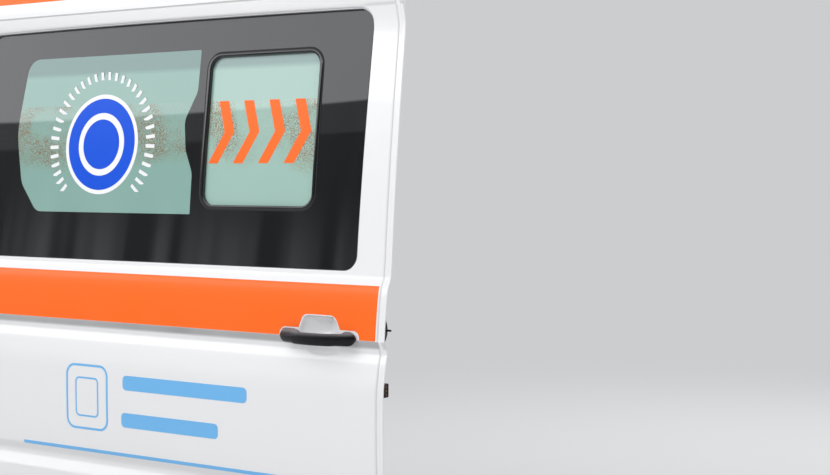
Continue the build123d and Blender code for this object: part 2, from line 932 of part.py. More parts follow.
def middle_arm():
    knuckle_half = ear_gap / 2 - side_clearance
    arm = upright(knuckle_radius, pivot_x, pivot_y, middle_z - knuckle_half, middle_z + knuckle_half)
    half = middle_arm_width / 2
    outline = [
        (pivot_x, pivot_y - half),
        (pivot_x, pivot_y + half),
        (carriage_x, carriage_y),
        (carriage_x, carriage_y - middle_arm_width),
    ]
    beam = extrude(make_face(Polyline(*outline, close=True)), amount=middle_arm_height)
    arm += Pos(0, 0, middle_z - middle_arm_height / 2) * beam
    plate_low_x = carriage_x - middle_plate_length / 2
    plate_high_x = carriage_x + middle_plate_length / 2
    arm += block(
        plate_low_x,
        plate_high_x,
        carriage_y - plate,
        carriage_y,
        middle_z - middle_plate_height / 2,
        middle_plate_top_z,
    )
    arm += block(
        plate_low_x,
        plate_high_x,
        carriage_y - plate,
        middle_roller_high_y,
        middle_plate_top_z,
        middle_plate_top_z + plate,
    )
    boss_y = middle_roller_low_y - side_clearance
    arm += crosswise(middle_axle_radius + axle_head, carriage_x, middle_roller_z, carriage_y, boss_y)
    tip_y = middle_roller_high_y + side_clearance
    arm += crosswise(middle_axle_radius, carriage_x, middle_roller_z, boss_y, tip_y)
    arm += crosswise(middle_axle_radius + axle_head, carriage_x, middle_roller_z, tip_y, tip_y + axle_head)
    guide_y = (middle_roller_low_y + middle_roller_high_y) / 2
    guide_top = middle_plate_top_z + plate + 2 * side_clearance + middle_guide_height
    for x in (carriage_x - middle_guide_spacing / 2, carriage_x + middle_guide_spacing / 2):
        arm += upright(middle_axle_radius, x, guide_y, middle_plate_top_z, guide_top)
        arm += upright(middle_axle_radius + axle_head, x, guide_y, guide_top, guide_top + axle_head)
    bore = pivot_radius + running_clearance
    return arm - upright(bore, pivot_x, pivot_y, middle_z - ear_gap / 2, middle_z + ear_gap / 2)


def middle_load_roller():
    tread = crosswise(
        middle_roller_radius, carriage_x, middle_roller_z, middle_roller_low_y, middle_roller_high_y
    )
    bore = middle_axle_radius + running_clearance
    return tread - crosswise(bore, carriage_x, middle_roller_z, middle_roller_low_y, middle_roller_high_y)


def middle_guide_roller(x):
    guide_y = (middle_roller_low_y + middle_roller_high_y) / 2
    low_z = middle_plate_top_z + plate + side_clearance
    high_z = low_z + middle_guide_height
    roller = upright(middle_guide_radius, x, guide_y, low_z, high_z)
    return roller - upright(middle_axle_radius + running_clearance, x, guide_y, low_z, high_z)


parts = {
    "outer_skin": outer_skin(),
    "handle_cup": handle_cup(),
    "inner_panel": inner_panel(),
    "window_glass": window_glass(),
    "window_bond": window_bond(),
    "slider_frame": slider_frame(),
    "slider_pane": slider_pane(),
    "slider_rails": slider_rails(),
    "slider_catch": slider_catch(),
    "window_trim": window_trim(),
    "lower_lining": lining(lining_outline),
    "upper_lining": lining(upper_lining_outline),
    "perimeter_seal": perimeter_seal(),
    "bump_stops": bump_stops(),
    "outer_grip": outer_grip(),
    "grip_feet": grip_feet(),
    "pull_handle": pull_handle(),
    "release_bezel": release_bezel(),
    "release_lever": release_lever(),
    "front_wedge": front_wedge(),
    "locating_pin": locating_pin(),
    "contact_block": contact_block(),
    "contact_pins": contact_pins(),
    "front_lock": lock(tray_front_x, 1),
    "rear_lock": lock(tray_rear_x, -1),
    "rear_wedge": rear_wedge(),
    "lower_arm": lower_arm(),
    "lower_carriage": lower_carriage(),
    "lower_load_roller": load_roller(),
    "lower_guide_roller_front": guide_roller(guide_spacing / 2),
    "lower_guide_roller_rear": guide_roller(-guide_spacing / 2),
    "upper_arm": upper_arm(),
    "upper_roller": upper_roller(),
    "middle_bracket": middle_bracket(),
    "middle_pin": middle_pin(),
    "middle_arm": middle_arm(),
    "middle_load_roller": middle_load_roller(),
    "middle_guide_roller_front": middle_guide_roller(carriage_x + middle_guide_spacing / 2),
    "middle_guide_roller_rear": middle_guide_roller(carriage_x - middle_guide_spacing / 2),
}

os.makedirs("parts", exist_ok=True)
for name, solid in parts.items():
    export_step(solid, f"parts/{name}.step")
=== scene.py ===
import math
import bpy
import numpy as np
from mathutils import Euler, Matrix, Vector
from mathutils.geometry import delaunay_2d_cdt


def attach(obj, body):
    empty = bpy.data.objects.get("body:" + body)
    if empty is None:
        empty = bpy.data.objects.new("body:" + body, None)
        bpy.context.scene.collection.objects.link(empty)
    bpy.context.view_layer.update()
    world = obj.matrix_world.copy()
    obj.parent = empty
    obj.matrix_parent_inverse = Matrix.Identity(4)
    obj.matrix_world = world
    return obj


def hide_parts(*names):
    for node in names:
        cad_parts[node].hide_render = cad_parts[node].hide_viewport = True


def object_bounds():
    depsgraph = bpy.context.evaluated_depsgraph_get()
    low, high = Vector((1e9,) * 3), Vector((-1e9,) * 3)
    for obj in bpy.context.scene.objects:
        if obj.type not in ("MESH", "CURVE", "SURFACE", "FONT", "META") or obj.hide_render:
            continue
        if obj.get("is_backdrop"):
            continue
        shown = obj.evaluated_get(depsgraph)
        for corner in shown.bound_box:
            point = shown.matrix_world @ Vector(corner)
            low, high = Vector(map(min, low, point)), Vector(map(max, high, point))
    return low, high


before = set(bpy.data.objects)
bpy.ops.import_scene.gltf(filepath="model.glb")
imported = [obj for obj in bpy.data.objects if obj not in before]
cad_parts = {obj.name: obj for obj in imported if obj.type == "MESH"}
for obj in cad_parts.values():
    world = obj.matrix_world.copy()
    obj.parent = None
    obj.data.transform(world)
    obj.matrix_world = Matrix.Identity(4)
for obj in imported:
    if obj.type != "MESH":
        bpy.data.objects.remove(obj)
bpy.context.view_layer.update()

# Studio: a pale floor that runs into an even backdrop, soft lamps on all sides, and a sky
# for the gloss with a bright upper part and a dark, streaky lower part.
EYE = Vector((2.0978, -3.0735, 1.110))
LOOK_LEFT = math.radians(33.6)
LOOK_DOWN = math.radians(2.416)
LENS = 65.5
FLOOR_Z = -0.0715
FLOOR_RADIUS = 60.0
# Distances from the origin between which the floor turns into the backdrop
FLOOR_FADE = (2.0, 6.5)
BACKDROP = (0.60, 0.61, 0.62, 1.0)
# The lower edge of the open sky: its rise per radian of turn, and its height straight ahead
ROOFLINE = (0.2303, 0.384)
OPEN_SKY = 0.75
# A brighter field low in the open sky: what it adds, the heights over which it fades,
# and the turns over which it comes in and goes out
BRIGHT_FIELD = 1.75
FIELD_FADE = (0.30, 0.55)
FIELD_START = (-1.50, -1.15)
FIELD_END = (0.1, 0.6)
# Streaks below the open sky: how many to a radian, their darkest and their brightest
STREAKS = 46.0
STREAK_RANGE = (0.02, 0.62)
# A dim strip right below the roofline, and the even tone behind the door
STRIP = 0.26
BEHIND = 0.7


def feed(made, inputs):
    """Gives a node's inputs their values, or links them where a value is another node's output."""
    for key, value in inputs.items():
        if isinstance(value, bpy.types.NodeSocket):
            made.id_data.links.new(value, made.inputs[key])
        else:
            made.inputs[key].default_value = value


def node(tree, kind, inputs=None, **settings):
    """A new node with its settings and inputs."""
    made = tree.nodes.new(kind)
    for key, value in settings.items():
        setattr(made, key, value)
    feed(made, inputs or {})
    return made


def sum_of(tree, operation, first, second=0.0, third=0.0):
    """The output of one math node."""
    return node(
        tree, "ShaderNodeMath", {0: first, 1: second, 2: third}, operation=operation
    ).outputs[0]


def step_between(tree, value, low, high, first=0.0, last=1.0):
    """A smooth step of a value between two limits."""
    limits = {"Value": value, "From Min": low, "From Max": high, "To Min": first, "To Max": last}
    return node(
        tree, "ShaderNodeMapRange", limits, interpolation_type="SMOOTHSTEP"
    ).outputs["Result"]


def mixed(tree, share, first, second, kind="RGBA"):
    """Two colours, or two numbers, mixed by a share."""
    at, out = {"FLOAT": (2, 0), "RGBA": (6, 2)}[kind]
    return node(
        tree, "ShaderNodeMix", {0: share, at: first, at + 1: second}, data_type=kind
    ).outputs[out]


def noise(tree, place, scale, detail, roughness=0.5):
    """Cloudy noise at a place."""
    sizes = {"Vector": place, "Scale": scale, "Detail": detail, "Roughness": roughness}
    return node(tree, "ShaderNodeTexNoise", sizes).outputs["Fac"]


camera = bpy.data.objects.new("camera", bpy.data.cameras.new("camera"))
camera.data.lens = LENS
camera.data.sensor_width = 36.0
camera.data.clip_end = 200.0
camera.location = EYE
camera.rotation_euler = Euler((math.pi / 2 - LOOK_DOWN, 0.0, LOOK_LEFT))
bpy.context.scene.collection.objects.link(camera)
bpy.context.scene.camera = camera
bpy.context.scene.view_settings.view_transform = "Standard"

world = bpy.data.worlds.new("sky")
world.use_nodes = True
bpy.context.scene.world = world
sky = world.node_tree
sky.nodes.clear()
towards = node(
    sky, "ShaderNodeSeparateXYZ", {0: node(sky, "ShaderNodeTexCoord").outputs["Generated"]}
)
height = towards.outputs["Z"]
turn = sum_of(
    sky, "ARCTAN2", towards.outputs["X"], sum_of(sky, "MULTIPLY", towards.outputs["Y"], -1.0)
)
roofline = sum_of(sky, "SUBTRACT", height, sum_of(sky, "MULTIPLY_ADD", turn, *ROOFLINE))
open_sky = step_between(sky, roofline, -0.0015, 0.0015)
patch = sum_of(
    sky, "MULTIPLY", step_between(sky, height, *FIELD_FADE, 1.0, 0.0),
    step_between(sky, turn, *FIELD_END, 1.0, 0.0)
)
patch = sum_of(sky, "MULTIPLY", patch, step_between(sky, turn, *FIELD_START))
bright = sum_of(sky, "MULTIPLY_ADD", patch, BRIGHT_FIELD, OPEN_SKY)
streak_place = node(
    sky, "ShaderNodeCombineXYZ", {0: sum_of(sky, "MULTIPLY", turn, STREAKS), 1: height}
)
streaks = step_between(
    sky, noise(sky, streak_place.outputs[0], 1.0, 1.5), 0.42, 0.62, *STREAK_RANGE
)
nearness = step_between(sky, height, 0.05, 0.15, 1.0, 0.05)
strip = step_between(sky, roofline, -0.030, -0.024, 0.0, STRIP)
dim = sum_of(sky, "ADD", sum_of(sky, "MULTIPLY", streaks, nearness), strip)
behind = step_between(sky, towards.outputs["Y"], -0.25, 0.15)
gloss = mixed(sky, open_sky, mixed(sky, behind, dim, BEHIND, "FLOAT"), bright, "FLOAT")
soft = step_between(sky, height, -0.1, 0.9, 0.50, 0.80)
seen = node(sky, "ShaderNodeLightPath")
power = mixed(sky, seen.outputs["Is Glossy Ray"], soft, gloss, "FLOAT")
daylight = node(
    sky, "ShaderNodeBackground", {"Color": (0.975, 0.985, 1.010, 1.0), "Strength": power}
)
plain = node(sky, "ShaderNodeBackground", {"Color": BACKDROP, "Strength": 1.0})
choice = node(
    sky, "ShaderNodeMixShader",
    {0: seen.outputs["Is Camera Ray"], 1: daylight.outputs[0], 2: plain.outputs[0]}
)
node(sky, "ShaderNodeOutputWorld", {0: choice.outputs[0]})

# Columns: name, place, point it faces, side of the square, power
for name, place, target, side, power in (
    ("key", (-2.2, -5.2, 4.2), (-0.6, -0.2, 0.9), 4.5, 165.0),
    ("fill", (3.4, -3.2, 1.6), (-0.2, -0.2, 0.8), 3.0, 30.0),
    ("back", (0.5, 4.8, 3.6), (-0.6, -0.1, 0.9), 4.0, 130.0),
    ("over", (-0.5, -1.3, 2.2), (-0.5, -0.2, 1.6), 1.2, 3.6),
):
    lamp = bpy.data.lights.new(name, "AREA")
    lamp.shape = "SQUARE"
    lamp.size = side
    lamp.energy = power
    light = bpy.data.objects.new(name, lamp)
    light.location = place
    light.rotation_euler = (Vector(target) - Vector(place)).to_track_quat("-Z", "Y").to_euler()
    light.visible_glossy = False
    light.visible_camera = False
    bpy.context.scene.collection.objects.link(light)


def plain_object(name, points, edges=(), faces=()):
    """A new object from points, edges and faces."""
    mesh = bpy.data.meshes.new(name)
    mesh.from_pydata([tuple(p) for p in points], edges, [tuple(f) for f in faces])
    made = bpy.data.objects.new(name, mesh)
    bpy.context.scene.collection.objects.link(made)
    return made


def disc_mesh(name, radius, height):
    """A flat round floor, as rings of quads round a centre fan."""
    count, shares = 96, (0.15, 0.4, 1.0)
    points, faces = [(0.0, 0.0, height)], []
    for share in shares:
        for k in range(count):
            angle = 2 * math.pi * k / count
            points.append(
                (radius * share * math.cos(angle), radius * share * math.sin(angle), height)
            )
    for k in range(count):
        following = (k + 1) % count
        faces.append((0, 1 + k, 1 + following))
        for ring in range(len(shares) - 1):
            low, high = 1 + ring * count, 1 + (ring + 1) * count
            faces.append((low + k, high + k, high + following, low + following))
    return plain_object(name, points, faces=faces)


floor = disc_mesh("studio_floor", FLOOR_RADIUS, FLOOR_Z)
floor_finish = bpy.data.materials.new("studio_floor")
floor_finish.use_nodes = True
tree = floor_finish.node_tree
tree.nodes.clear()
reach = node(
    tree, "ShaderNodeVectorMath", {0: node(tree, "ShaderNodeTexCoord").outputs["Object"]},
    operation="LENGTH"
)
near = node(
    tree, "ShaderNodeBsdfPrincipled", {"Base Color": (0.62, 0.62, 0.62, 1.0), "Roughness": 0.7}
)
far = node(tree, "ShaderNodeEmission", {"Color": BACKDROP, "Strength": 1.0})
fade = step_between(tree, reach.outputs["Value"], *FLOOR_FADE)
blend = node(tree, "ShaderNodeMixShader", {0: fade, 1: near.outputs[0], 2: far.outputs[0]})
node(tree, "ShaderNodeOutputMaterial", {0: blend.outputs[0]})
floor.data.materials.append(floor_finish)
floor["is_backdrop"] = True

# Outer skin and handle cup: one pressed steel sheet, hemmed round its edge over the inner panel,
# turned in round the window and sunk into a cup behind the grip. Sprayed gloss white.
BOTTOM = -0.070
OUTERMOST = -0.260
DOOR = (-1.338, 0.140, -0.070, 1.910)
DOOR_CORNER = 0.028
SHEET = 0.0012
# Columns: height above the bottom edge, inset, slope below, slope above (None: left to the curve)
SKIN_SECTION = (
    (0, 30, None, None), (30, 6, None, None), (90, 0, None, None), (330, 0, None, None),
    (380, 2, None, None), (425, 16, 0, 0), (453, 4, None, None), (508, 1.5, None, None),
    (618, 0, None, None), (684, 1.75, 0.05, 0.05), (704, 4.9, 0.185, 0.185),
    (745, 12.6, None, None), (765, 18.5, 0.28, -0.30), (794, 5, -0.80, 0.10),
    (839, 9.4, None, None), (913, 20, None, None), (942, 33, None, None), (1060, 43.5, None, None),
    (1207, 57.4, None, None), (1354, 74, None, None), (1505, 92.5, 0.12, 0.12),
    (1527, 94.0, 0.0, 0.0), (1549, 90.4, -0.28, -0.28), (1607, 72, -0.30, 0.06),
    (1980, 114, None, None),
)
# Start and end of the groove beside the shut edge, and its depth
GROOVE = (0.0078, 0.0200, 0.0042)
# The lines pressed over the window. Columns: height, half width, depth, strength of the painted
# shade in it
CREASES = ((1.5365, 0.0036, 0.0026, 0.50), (1.5060, 0.0060, 0.0005, 0.05))
# A line of painted shade in the groove: how far behind the shut edge it lies, its reach and its
# strength
GROOVE_SHADE = (0.0180, 0.0070, 0.30)
# The lower line of painted shade beside the window: how far below the fold it lies, its reach,
# strength and run-out
PILLAR_SHADE_LINE = (0.0010, 0.0060, 0.34, 0.040)
# Columns: forward, up, radius of the corner
CUP_CORNERS = (
    (-88, 668, 30), (-6, 668, 30), (16, 712, 28), (14.5, 743, 28), (-4, 777.5, 24),
    (-95, 777.5, 16), (-106.5, 745, 30), (-107, 712, 30),
)
CUP_EDGE = 0.006
CUP_DEPTH = 0.036
# Middle of the cup, and its half width and half height
CUP_BOWL = (-0.0465, 0.7380, 0.0770, 0.0620)
# How sharply the bowl's lower and upper half fall away
BOWL_FALL = (2.6, 1.6)
WINDOW = (-1.268, 0.048, 0.8837, 1.4975)
# How far the window's front edge leans back at its foot and forward at its head
WINDOW_LEAN = (-0.0085, 0.0025)
WINDOW_CORNER = 0.036
WINDOW_CROWN = 0.004
# Radius of the rolled edge over the window, the height where it starts, its run up to full size,
# and the heights between which it is looked for
TOP_ROLL = 0.006
ROLL_START = 1.466
ROLL_RUN = 0.020
ROLL_ZONE = (1.46, 1.52)
GLASS_GAP = 0.0024
PAINT = (0.84, 0.84, 0.85, 1.0)
# Dust low on the panels, a grey tone below the belt and painted shade in a band under the belt's
# lip, and the heights where each begins or ends
DUST = (0.42, 0.37, 0.30, 1.0)
DUST_FADE = (-0.05, 0.55)
LOWER_GREY = (0.20, 0.21, 0.23, 1.0)
LOWER_GREY_EDGE = (0.59, 0.65)
PAINTED_SHADE = (0.20, 0.20, 0.195, 1.0)
PAINTED_SHADE_FOOT = (0.703, 0.712)
PAINTED_SHADE_HEAD = (0.7250, 0.7264)
PAINTED_SHADE_FRONT = (0.1205, 0.1245)
SIDE = Matrix(((1, 0, 0), (0, 0, 1), (0, 1, 0)))
MM = 0.001


def mm(*rows, base=0.0):
    """Rows given in millimetres, as metres; the last column counts from a base."""
    return [(*(value / 1000 for value in row[:-1]), base + row[-1] / 1000) for row in rows]


def smooth_curve(rows, fillet):
    """Heights and insets of a section, smooth between its rows and rounded where slopes change."""
    step = 0.0005
    rows = [(row[0] * MM, row[1] * MM, *row[2:]) for row in rows]
    chords = [(b[1] - a[1]) / (b[0] - a[0]) for a, b in zip(rows, rows[1:])]
    slopes = []
    for k, row in enumerate(rows):
        before = chords[max(k - 1, 0)]
        after = chords[min(k, len(chords) - 1)]
        natural = 2 * before * after / (before + after) if before * after > 0 else 0.0
        if k in (0, len(rows) - 1):
            natural = before if k else after
        slopes.append([natural if s is None else s for s in row[2:4]])
    heights = np.arange(rows[0][0], rows[-1][0] + step / 2, step)
    insets = np.zeros_like(heights)
    for (low, high, s_low, s_high) in zip(rows, rows[1:], slopes, slopes[1:]):
        span = high[0] - low[0]
        inside = (heights >= low[0] - step / 2) & (heights <= high[0] + step / 2)
        t = (heights[inside] - low[0]) / span
        insets[inside] = (
            low[1] * (1 + 2 * t) * (1 - t) ** 2 + s_low[1] * span * t * (1 - t) ** 2
            + high[1] * t * t * (3 - 2 * t) + s_high[0] * span * t * t * (t - 1)
        )
    reach = int(round(fillet / step))
    weights = np.exp(-0.5 * (np.arange(-3 * reach, 3 * reach + 1) / max(reach, 1)) ** 2)
    padded = np.pad(insets, 3 * reach, mode="reflect", reflect_type="odd")
    return heights, np.convolve(padded, weights / weights.sum(), mode="valid")


def rounded_polygon(corners, radii, steps=9):
    """A closed outline with its corners rounded, each by its own radius or all by one."""
    points = []
    count = len(corners)
    radii = np.broadcast_to(radii, count)
    for k in range(count):
        here = Vector(corners[k])
        back = (Vector(corners[k - 1]) - here).normalized()
        ahead = (Vector(corners[(k + 1) % count]) - here).normalized()
        half = back.angle(ahead) / 2
        radius = radii[k]
        centre = here + (back + ahead).normalized() * (radius / math.sin(half))
        first = here + back * (radius / math.tan(half)) - centre
        sweep = math.pi - 2 * half
        side = -1.0 if back.x * ahead.y - back.y * ahead.x > 0 else 1.0
        for n in range(steps):
            angle = side * sweep * n / (steps - 1)
            c, s = math.cos(angle), math.sin(angle)
            points.append(
                (centre.x + first.x * c - first.y * s, centre.y + first.x * s + first.y * c)
            )
    return np.array(points)


def rounded_box(box, radius, grow=0.0, steps=9):
    """A round-cornered outline given by its limits, moved outwards by a distance."""
    x0, x1, z0, z1 = box[0] - grow, box[1] + grow, box[2] - grow, box[3] + grow
    return rounded_polygon(
        ((x0, z0), (x1, z0), (x1, z1), (x0, z1)), max(radius + grow, 0.001), steps
    )


def finer(loop, longest=0.03):
    """The same outline with its long sides cut into shorter ones."""
    points = []
    for a, b in zip(loop, np.roll(loop, -1, axis=0)):
        count = max(1, int(math.ceil(np.linalg.norm(b - a) / longest)))
        points += [a + (b - a) * k / count for k in range(count)]
    return np.array(points)


def window_line(grow):
    """The window's outline, its top slightly crowned and its front edge leaning, moved outwards."""
    loop = finer(rounded_box(WINDOW, WINDOW_CORNER, grow, 13))
    middle, half = (WINDOW[0] + WINDOW[1]) / 2, (WINDOW[1] - WINDOW[0]) / 2
    bow = 1 - ((loop[:, 0] - middle) / half) ** 2
    share = np.clip((loop[:, 1] - WINDOW[2]) / (WINDOW[3] - WINDOW[2]), 0.0, 1.0)
    loop[:, 1] += WINDOW_CROWN * bow * share
    forward = np.clip((loop[:, 0] - middle) / half, 0.0, 1.0)
    loop[:, 0] += forward * (WINDOW_LEAN[0] + (WINDOW_LEAN[1] - WINDOW_LEAN[0]) * share)
    return loop


def pulled_in(loop, by):
    """A closed outline moved inwards by a distance."""
    loop = np.asarray(loop, float)
    loop = loop[np.linalg.norm(loop - np.roll(loop, 1, axis=0), axis=1) > 1e-6]
    ahead = np.roll(loop, -1, axis=0) - loop
    area = np.sum(loop[:, 0] * np.roll(loop[:, 1], -1) - loop[:, 1] * np.roll(loop[:, 0], -1))
    ahead *= math.copysign(1.0, area) / np.linalg.norm(ahead, axis=1)[:, None]
    outwards = np.stack((ahead[:, 1], -ahead[:, 0]), axis=1)
    corner = outwards + np.roll(outwards, 1, axis=0)
    return loop - corner * (2 * by / np.sum(corner * corner, axis=1))[:, None]


def closed(loop):
    """A closed outline as a line that ends where it starts."""
    return np.vstack((loop, loop[:1]))


def levels(heights, low, high):
    """Level lines at some heights."""
    return [((low, z), (high, z)) for z in heights]


def uprights(places, low, high):
    """Upright lines at some places."""
    return [((x, low), (x, high)) for x in places]


def distance_out(loop, u, v):
    """Distance of points from a closed outline, positive outside it."""
    u, v = np.asarray(u, float), np.asarray(v, float)
    nearest = np.full(u.shape, 1e9)
    odd = np.zeros(u.shape, bool)
    for (au, av), (bu, bv) in zip(loop, np.roll(loop, -1, axis=0)):
        du, dv = bu - au, bv - av
        t = np.clip(((u - au) * du + (v - av) * dv) / (du * du + dv * dv + 1e-18), 0.0, 1.0)
        nearest = np.minimum(nearest, np.hypot(u - au - t * du, v - av - t * dv))
        crosses = (av > v) != (bv > v)
        if av != bv:
            odd ^= crosses & (u < au + (v - av) * du / dv)
    return np.where(odd, -nearest, nearest)


def inside(loop, u, v):
    """Which points lie within a closed outline."""
    odd = np.zeros(np.shape(u), bool)
    for (au, av), (bu, bv) in zip(loop, np.roll(loop, -1, axis=0)):
        if av != bv:
            odd ^= ((av > v) != (bv > v)) & (u < au + (v - av) * (bu - au) / (bv - av))
    return odd


def add_mesh(name, points, faces, normals=None, crease=35.0):
    """An object from points and faces, smooth but for sharp edges, with known normals if given."""
    made = plain_object(name, points, faces=faces)
    made.data.polygons.foreach_set("use_smooth", [True] * len(faces))
    made.data.set_sharp_from_angle(angle=math.radians(crease))
    if normals is not None:
        made.data.normals_split_custom_set([tuple(n) for face in normals for n in face])
    return made


def fit(made, finish, body="door", replaced=()):
    """Gives a piece its finish and its body, and hides the parts that it stands for."""
    made.data.materials.append(finish)
    if replaced:
        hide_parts(*replaced)
    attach(made, body)
    return made


def pressed_sheet(name, loops, depth, wall, lines, edges=None, place=SIDE, zones=None):
    """A closed sheet over a flat outline with holes. depth(u, v) is its front, and its back lies
    wall behind that, along w where wall is positive. lines are more strips of points to follow.
    edges gives each outline's rim, as steps outwards and back. zones(u, v) numbers the materials of
    both faces."""
    flat, links = [], []
    for loop in loops:
        start = len(flat)
        flat += [Vector(p) for p in loop]
        links += [(start + k, start + (k + 1) % len(loop)) for k in range(len(loop))]
    for line in lines:
        start = len(flat)
        flat += [Vector(p) for p in line]
        links += [(start + k, start + k + 1) for k in range(len(line) - 1)]
    spots, _, triangles, _, _, _ = delaunay_2d_cdt(flat, links, [], 0, 2e-6)
    spots = np.array([tuple(p) for p in spots])
    triangles = np.array([t for t in triangles if len(t) == 3])
    middle = spots[triangles].mean(axis=1)
    kept = inside(loops[0], middle[:, 0], middle[:, 1])
    for hole in loops[1:]:
        kept &= ~inside(hole, middle[:, 0], middle[:, 1])
    a, b, c = (spots[triangles[:, k]] for k in range(3))
    area = (b[:, 0] - a[:, 0]) * (c[:, 1] - a[:, 1]) - (b[:, 1] - a[:, 1]) * (c[:, 0] - a[:, 0])
    triangles = triangles[kept & (np.abs(area) > 1e-13)]
    used = np.unique(triangles)
    renumber = np.full(len(spots), -1)
    renumber[used] = np.arange(len(used))
    spots, triangles = spots[used], renumber[triangles]
    u, v = spots[:, 0], spots[:, 1]
    w = depth(u, v)
    tip = 0.0002
    slope_u = (depth(u + tip, v) - depth(u - tip, v)) / (2 * tip)
    slope_v = (depth(u, v + tip) - depth(u, v - tip)) / (2 * tip)
    away = 1.0 if wall > 0 else -1.0
    facing = np.stack((slope_u, slope_v, -np.ones_like(u)), axis=1) * away
    facing /= np.linalg.norm(facing, axis=1)[:, None]
    count = len(spots)
    points = [np.stack((u, v, w), axis=1), np.stack((u, v, w + wall), axis=1)]
    turn_over = (place.determinant() > 0) == (away > 0)
    front = triangles[:, ::-1] if turn_over else triangles
    faces = [tuple(t) for t in front] + [tuple(t[::-1] + count) for t in front]
    known = [facing[list(t)] for t in front] + [-facing[list(t[::-1])] for t in front]
    follows = {}
    for p, q, r in triangles:
        for s, e in ((p, q), (q, r), (r, p)):
            follows[(s, e)] = True
    after = {s: e for (s, e) in follows if (e, s) not in follows}
    total = 2 * count
    while after:
        start = next(iter(after))
        loop = [start]
        step = after.pop(start)
        while step != start:
            loop.append(step)
            step = after.pop(step)
        spot = spots[loop]
        ahead = np.roll(spot, -1, axis=0) - spot
        outwards = np.stack((ahead[:, 1], -ahead[:, 0]), axis=1)
        outwards = outwards + np.roll(outwards, 1, axis=0)
        outwards /= np.linalg.norm(outwards, axis=1)[:, None]
        which = min(
            range(len(loops)), key=lambda k: np.abs(distance_out(loops[k], *spot[:9].T)).mean()
        )
        rim = (edges or {}).get(which, ())
        rings = [np.array(loop)]
        for out, back in rim:
            moved = spot + outwards * out
            ring_w = w[loop] + back * away
            points.append(np.column_stack((moved, ring_w)))
            rings.append(np.arange(total, total + len(loop)))
            total += len(loop)
        rings.append(np.array(loop) + count)
        for near, far in zip(rings, rings[1:]):
            for k in range(len(loop)):
                m = (k + 1) % len(loop)
                quad = (near[m], near[k], far[k], far[m])
                faces.append(quad[::-1] if turn_over else quad)
                known.append(np.zeros((4, 3)))
    points = np.concatenate(points)
    turn = np.array(place)
    made = add_mesh(name, points @ turn.T, faces, [n @ turn.T for n in known])
    if zones is not None:
        centre = spots[triangles].mean(axis=1)
        number = zones(centre[:, 0], centre[:, 1]).astype(int)
        number = np.concatenate((number, number, np.zeros(len(faces) - 2 * len(number), int)))
        made.data.polygons.foreach_set("material_index", number)
    return made


def round_rim(wall, radius, steps):
    """Rim steps of a sheet with rounded edges."""
    rim = []
    for k in range(1, steps + 1):
        angle = math.pi / 2 * k / steps
        rim.append((radius * math.sin(angle), radius * (1 - math.cos(angle))))
    return rim + [(out, wall - back) for out, back in reversed(rim)]


skin_heights, skin_insets = smooth_curve(SKIN_SECTION, 0.0022)


def skin_at(z):
    """Y of the skin's plain section at a height."""
    return OUTERMOST + np.interp(np.asarray(z) - BOTTOM, skin_heights, skin_insets)


def heights_along(low, high, surface, turn=0.035, widest=0.03):
    """Heights between two limits, close together where a section bends."""
    fine = np.arange(low, high, 0.001)
    slope = np.arctan(np.gradient(surface(fine), fine))
    chosen, last = [low], 0
    for k in range(1, len(fine)):
        if abs(slope[k] - slope[last]) > turn or fine[k] - fine[last] > widest:
            chosen.append(fine[k])
            last = k
    return chosen


cup_corners = mm(*CUP_CORNERS)
cup_mouth = rounded_polygon(
    [corner[:2] for corner in cup_corners], [corner[2] for corner in cup_corners]
)
cut_out = window_line(GLASS_GAP)


def cup_sink(x, z):
    """How deep the handle cup lies below the skin."""
    share = np.clip(-distance_out(cup_mouth, x, z) / CUP_EDGE, 0.0, 1.0)
    spread = ((x - CUP_BOWL[0]) / CUP_BOWL[2]) ** 2 + ((z - CUP_BOWL[1]) / CUP_BOWL[3]) ** 2
    fall = np.where(z < CUP_BOWL[1], *BOWL_FALL)
    return CUP_DEPTH * share * share * (3 - 2 * share) * np.clip(1 - spread, 0.0, 1.0) ** fall


def skin_y(x, z):
    """Y of the skin, with its edge grooves, creases, handle cup and rolled edge over the window."""
    y = skin_at(z)
    steep = 0.3
    for from_edge in (DOOR[1] - x, x - DOOR[0]):
        share = np.clip((from_edge - GROOVE[0]) / (GROOVE[1] - GROOVE[0]), 0.0, 1.0)
        wave = np.sin(share / steep * math.pi / 2) ** 2
        y = y + GROOVE[2] * np.where(share < steep, wave, (1 - share) / (1 - steep))
    for height, half, depth, _ in CREASES:
        y = y + depth * np.clip(1 - ((z - height) / half) ** 2, 0.0, 1.0) ** 2
    y = np.array(y, float)
    near = np.maximum(np.abs(x - CUP_BOWL[0]), np.abs(z - CUP_BOWL[1])) < 0.08
    if np.any(near):
        y[near] += cup_sink(x[near], z[near])
    near = (z > ROLL_ZONE[0]) & (z < ROLL_ZONE[1]) & (x > WINDOW[0] - 0.02) & (x < WINDOW[1] + 0.02)
    if np.any(near):
        roll = TOP_ROLL * np.clip((z[near] - ROLL_START) / ROLL_RUN, 0.0, 1.0) + 1e-6
        left = np.clip(1 - distance_out(cut_out, x[near], z[near]) / roll, 0.0, 0.98)
        y[near] += roll * (1 - np.sqrt(1 - left * left))
    return y


def new_finish(name):
    """A new material with its tree, its shader and the piece's own coordinates."""
    finish = bpy.data.materials.new(name)
    finish.use_nodes = True
    tree = finish.node_tree
    place = node(tree, "ShaderNodeTexCoord").outputs["Object"]
    return finish, tree, tree.nodes["Principled BSDF"], place


def soft_line(tree, along, middle, reach, strength):
    """A soft line where a coordinate comes near its middle."""
    away = sum_of(tree, "ABSOLUTE", sum_of(tree, "SUBTRACT", along, middle))
    return step_between(tree, away, 0.0, reach, strength, 0.0)


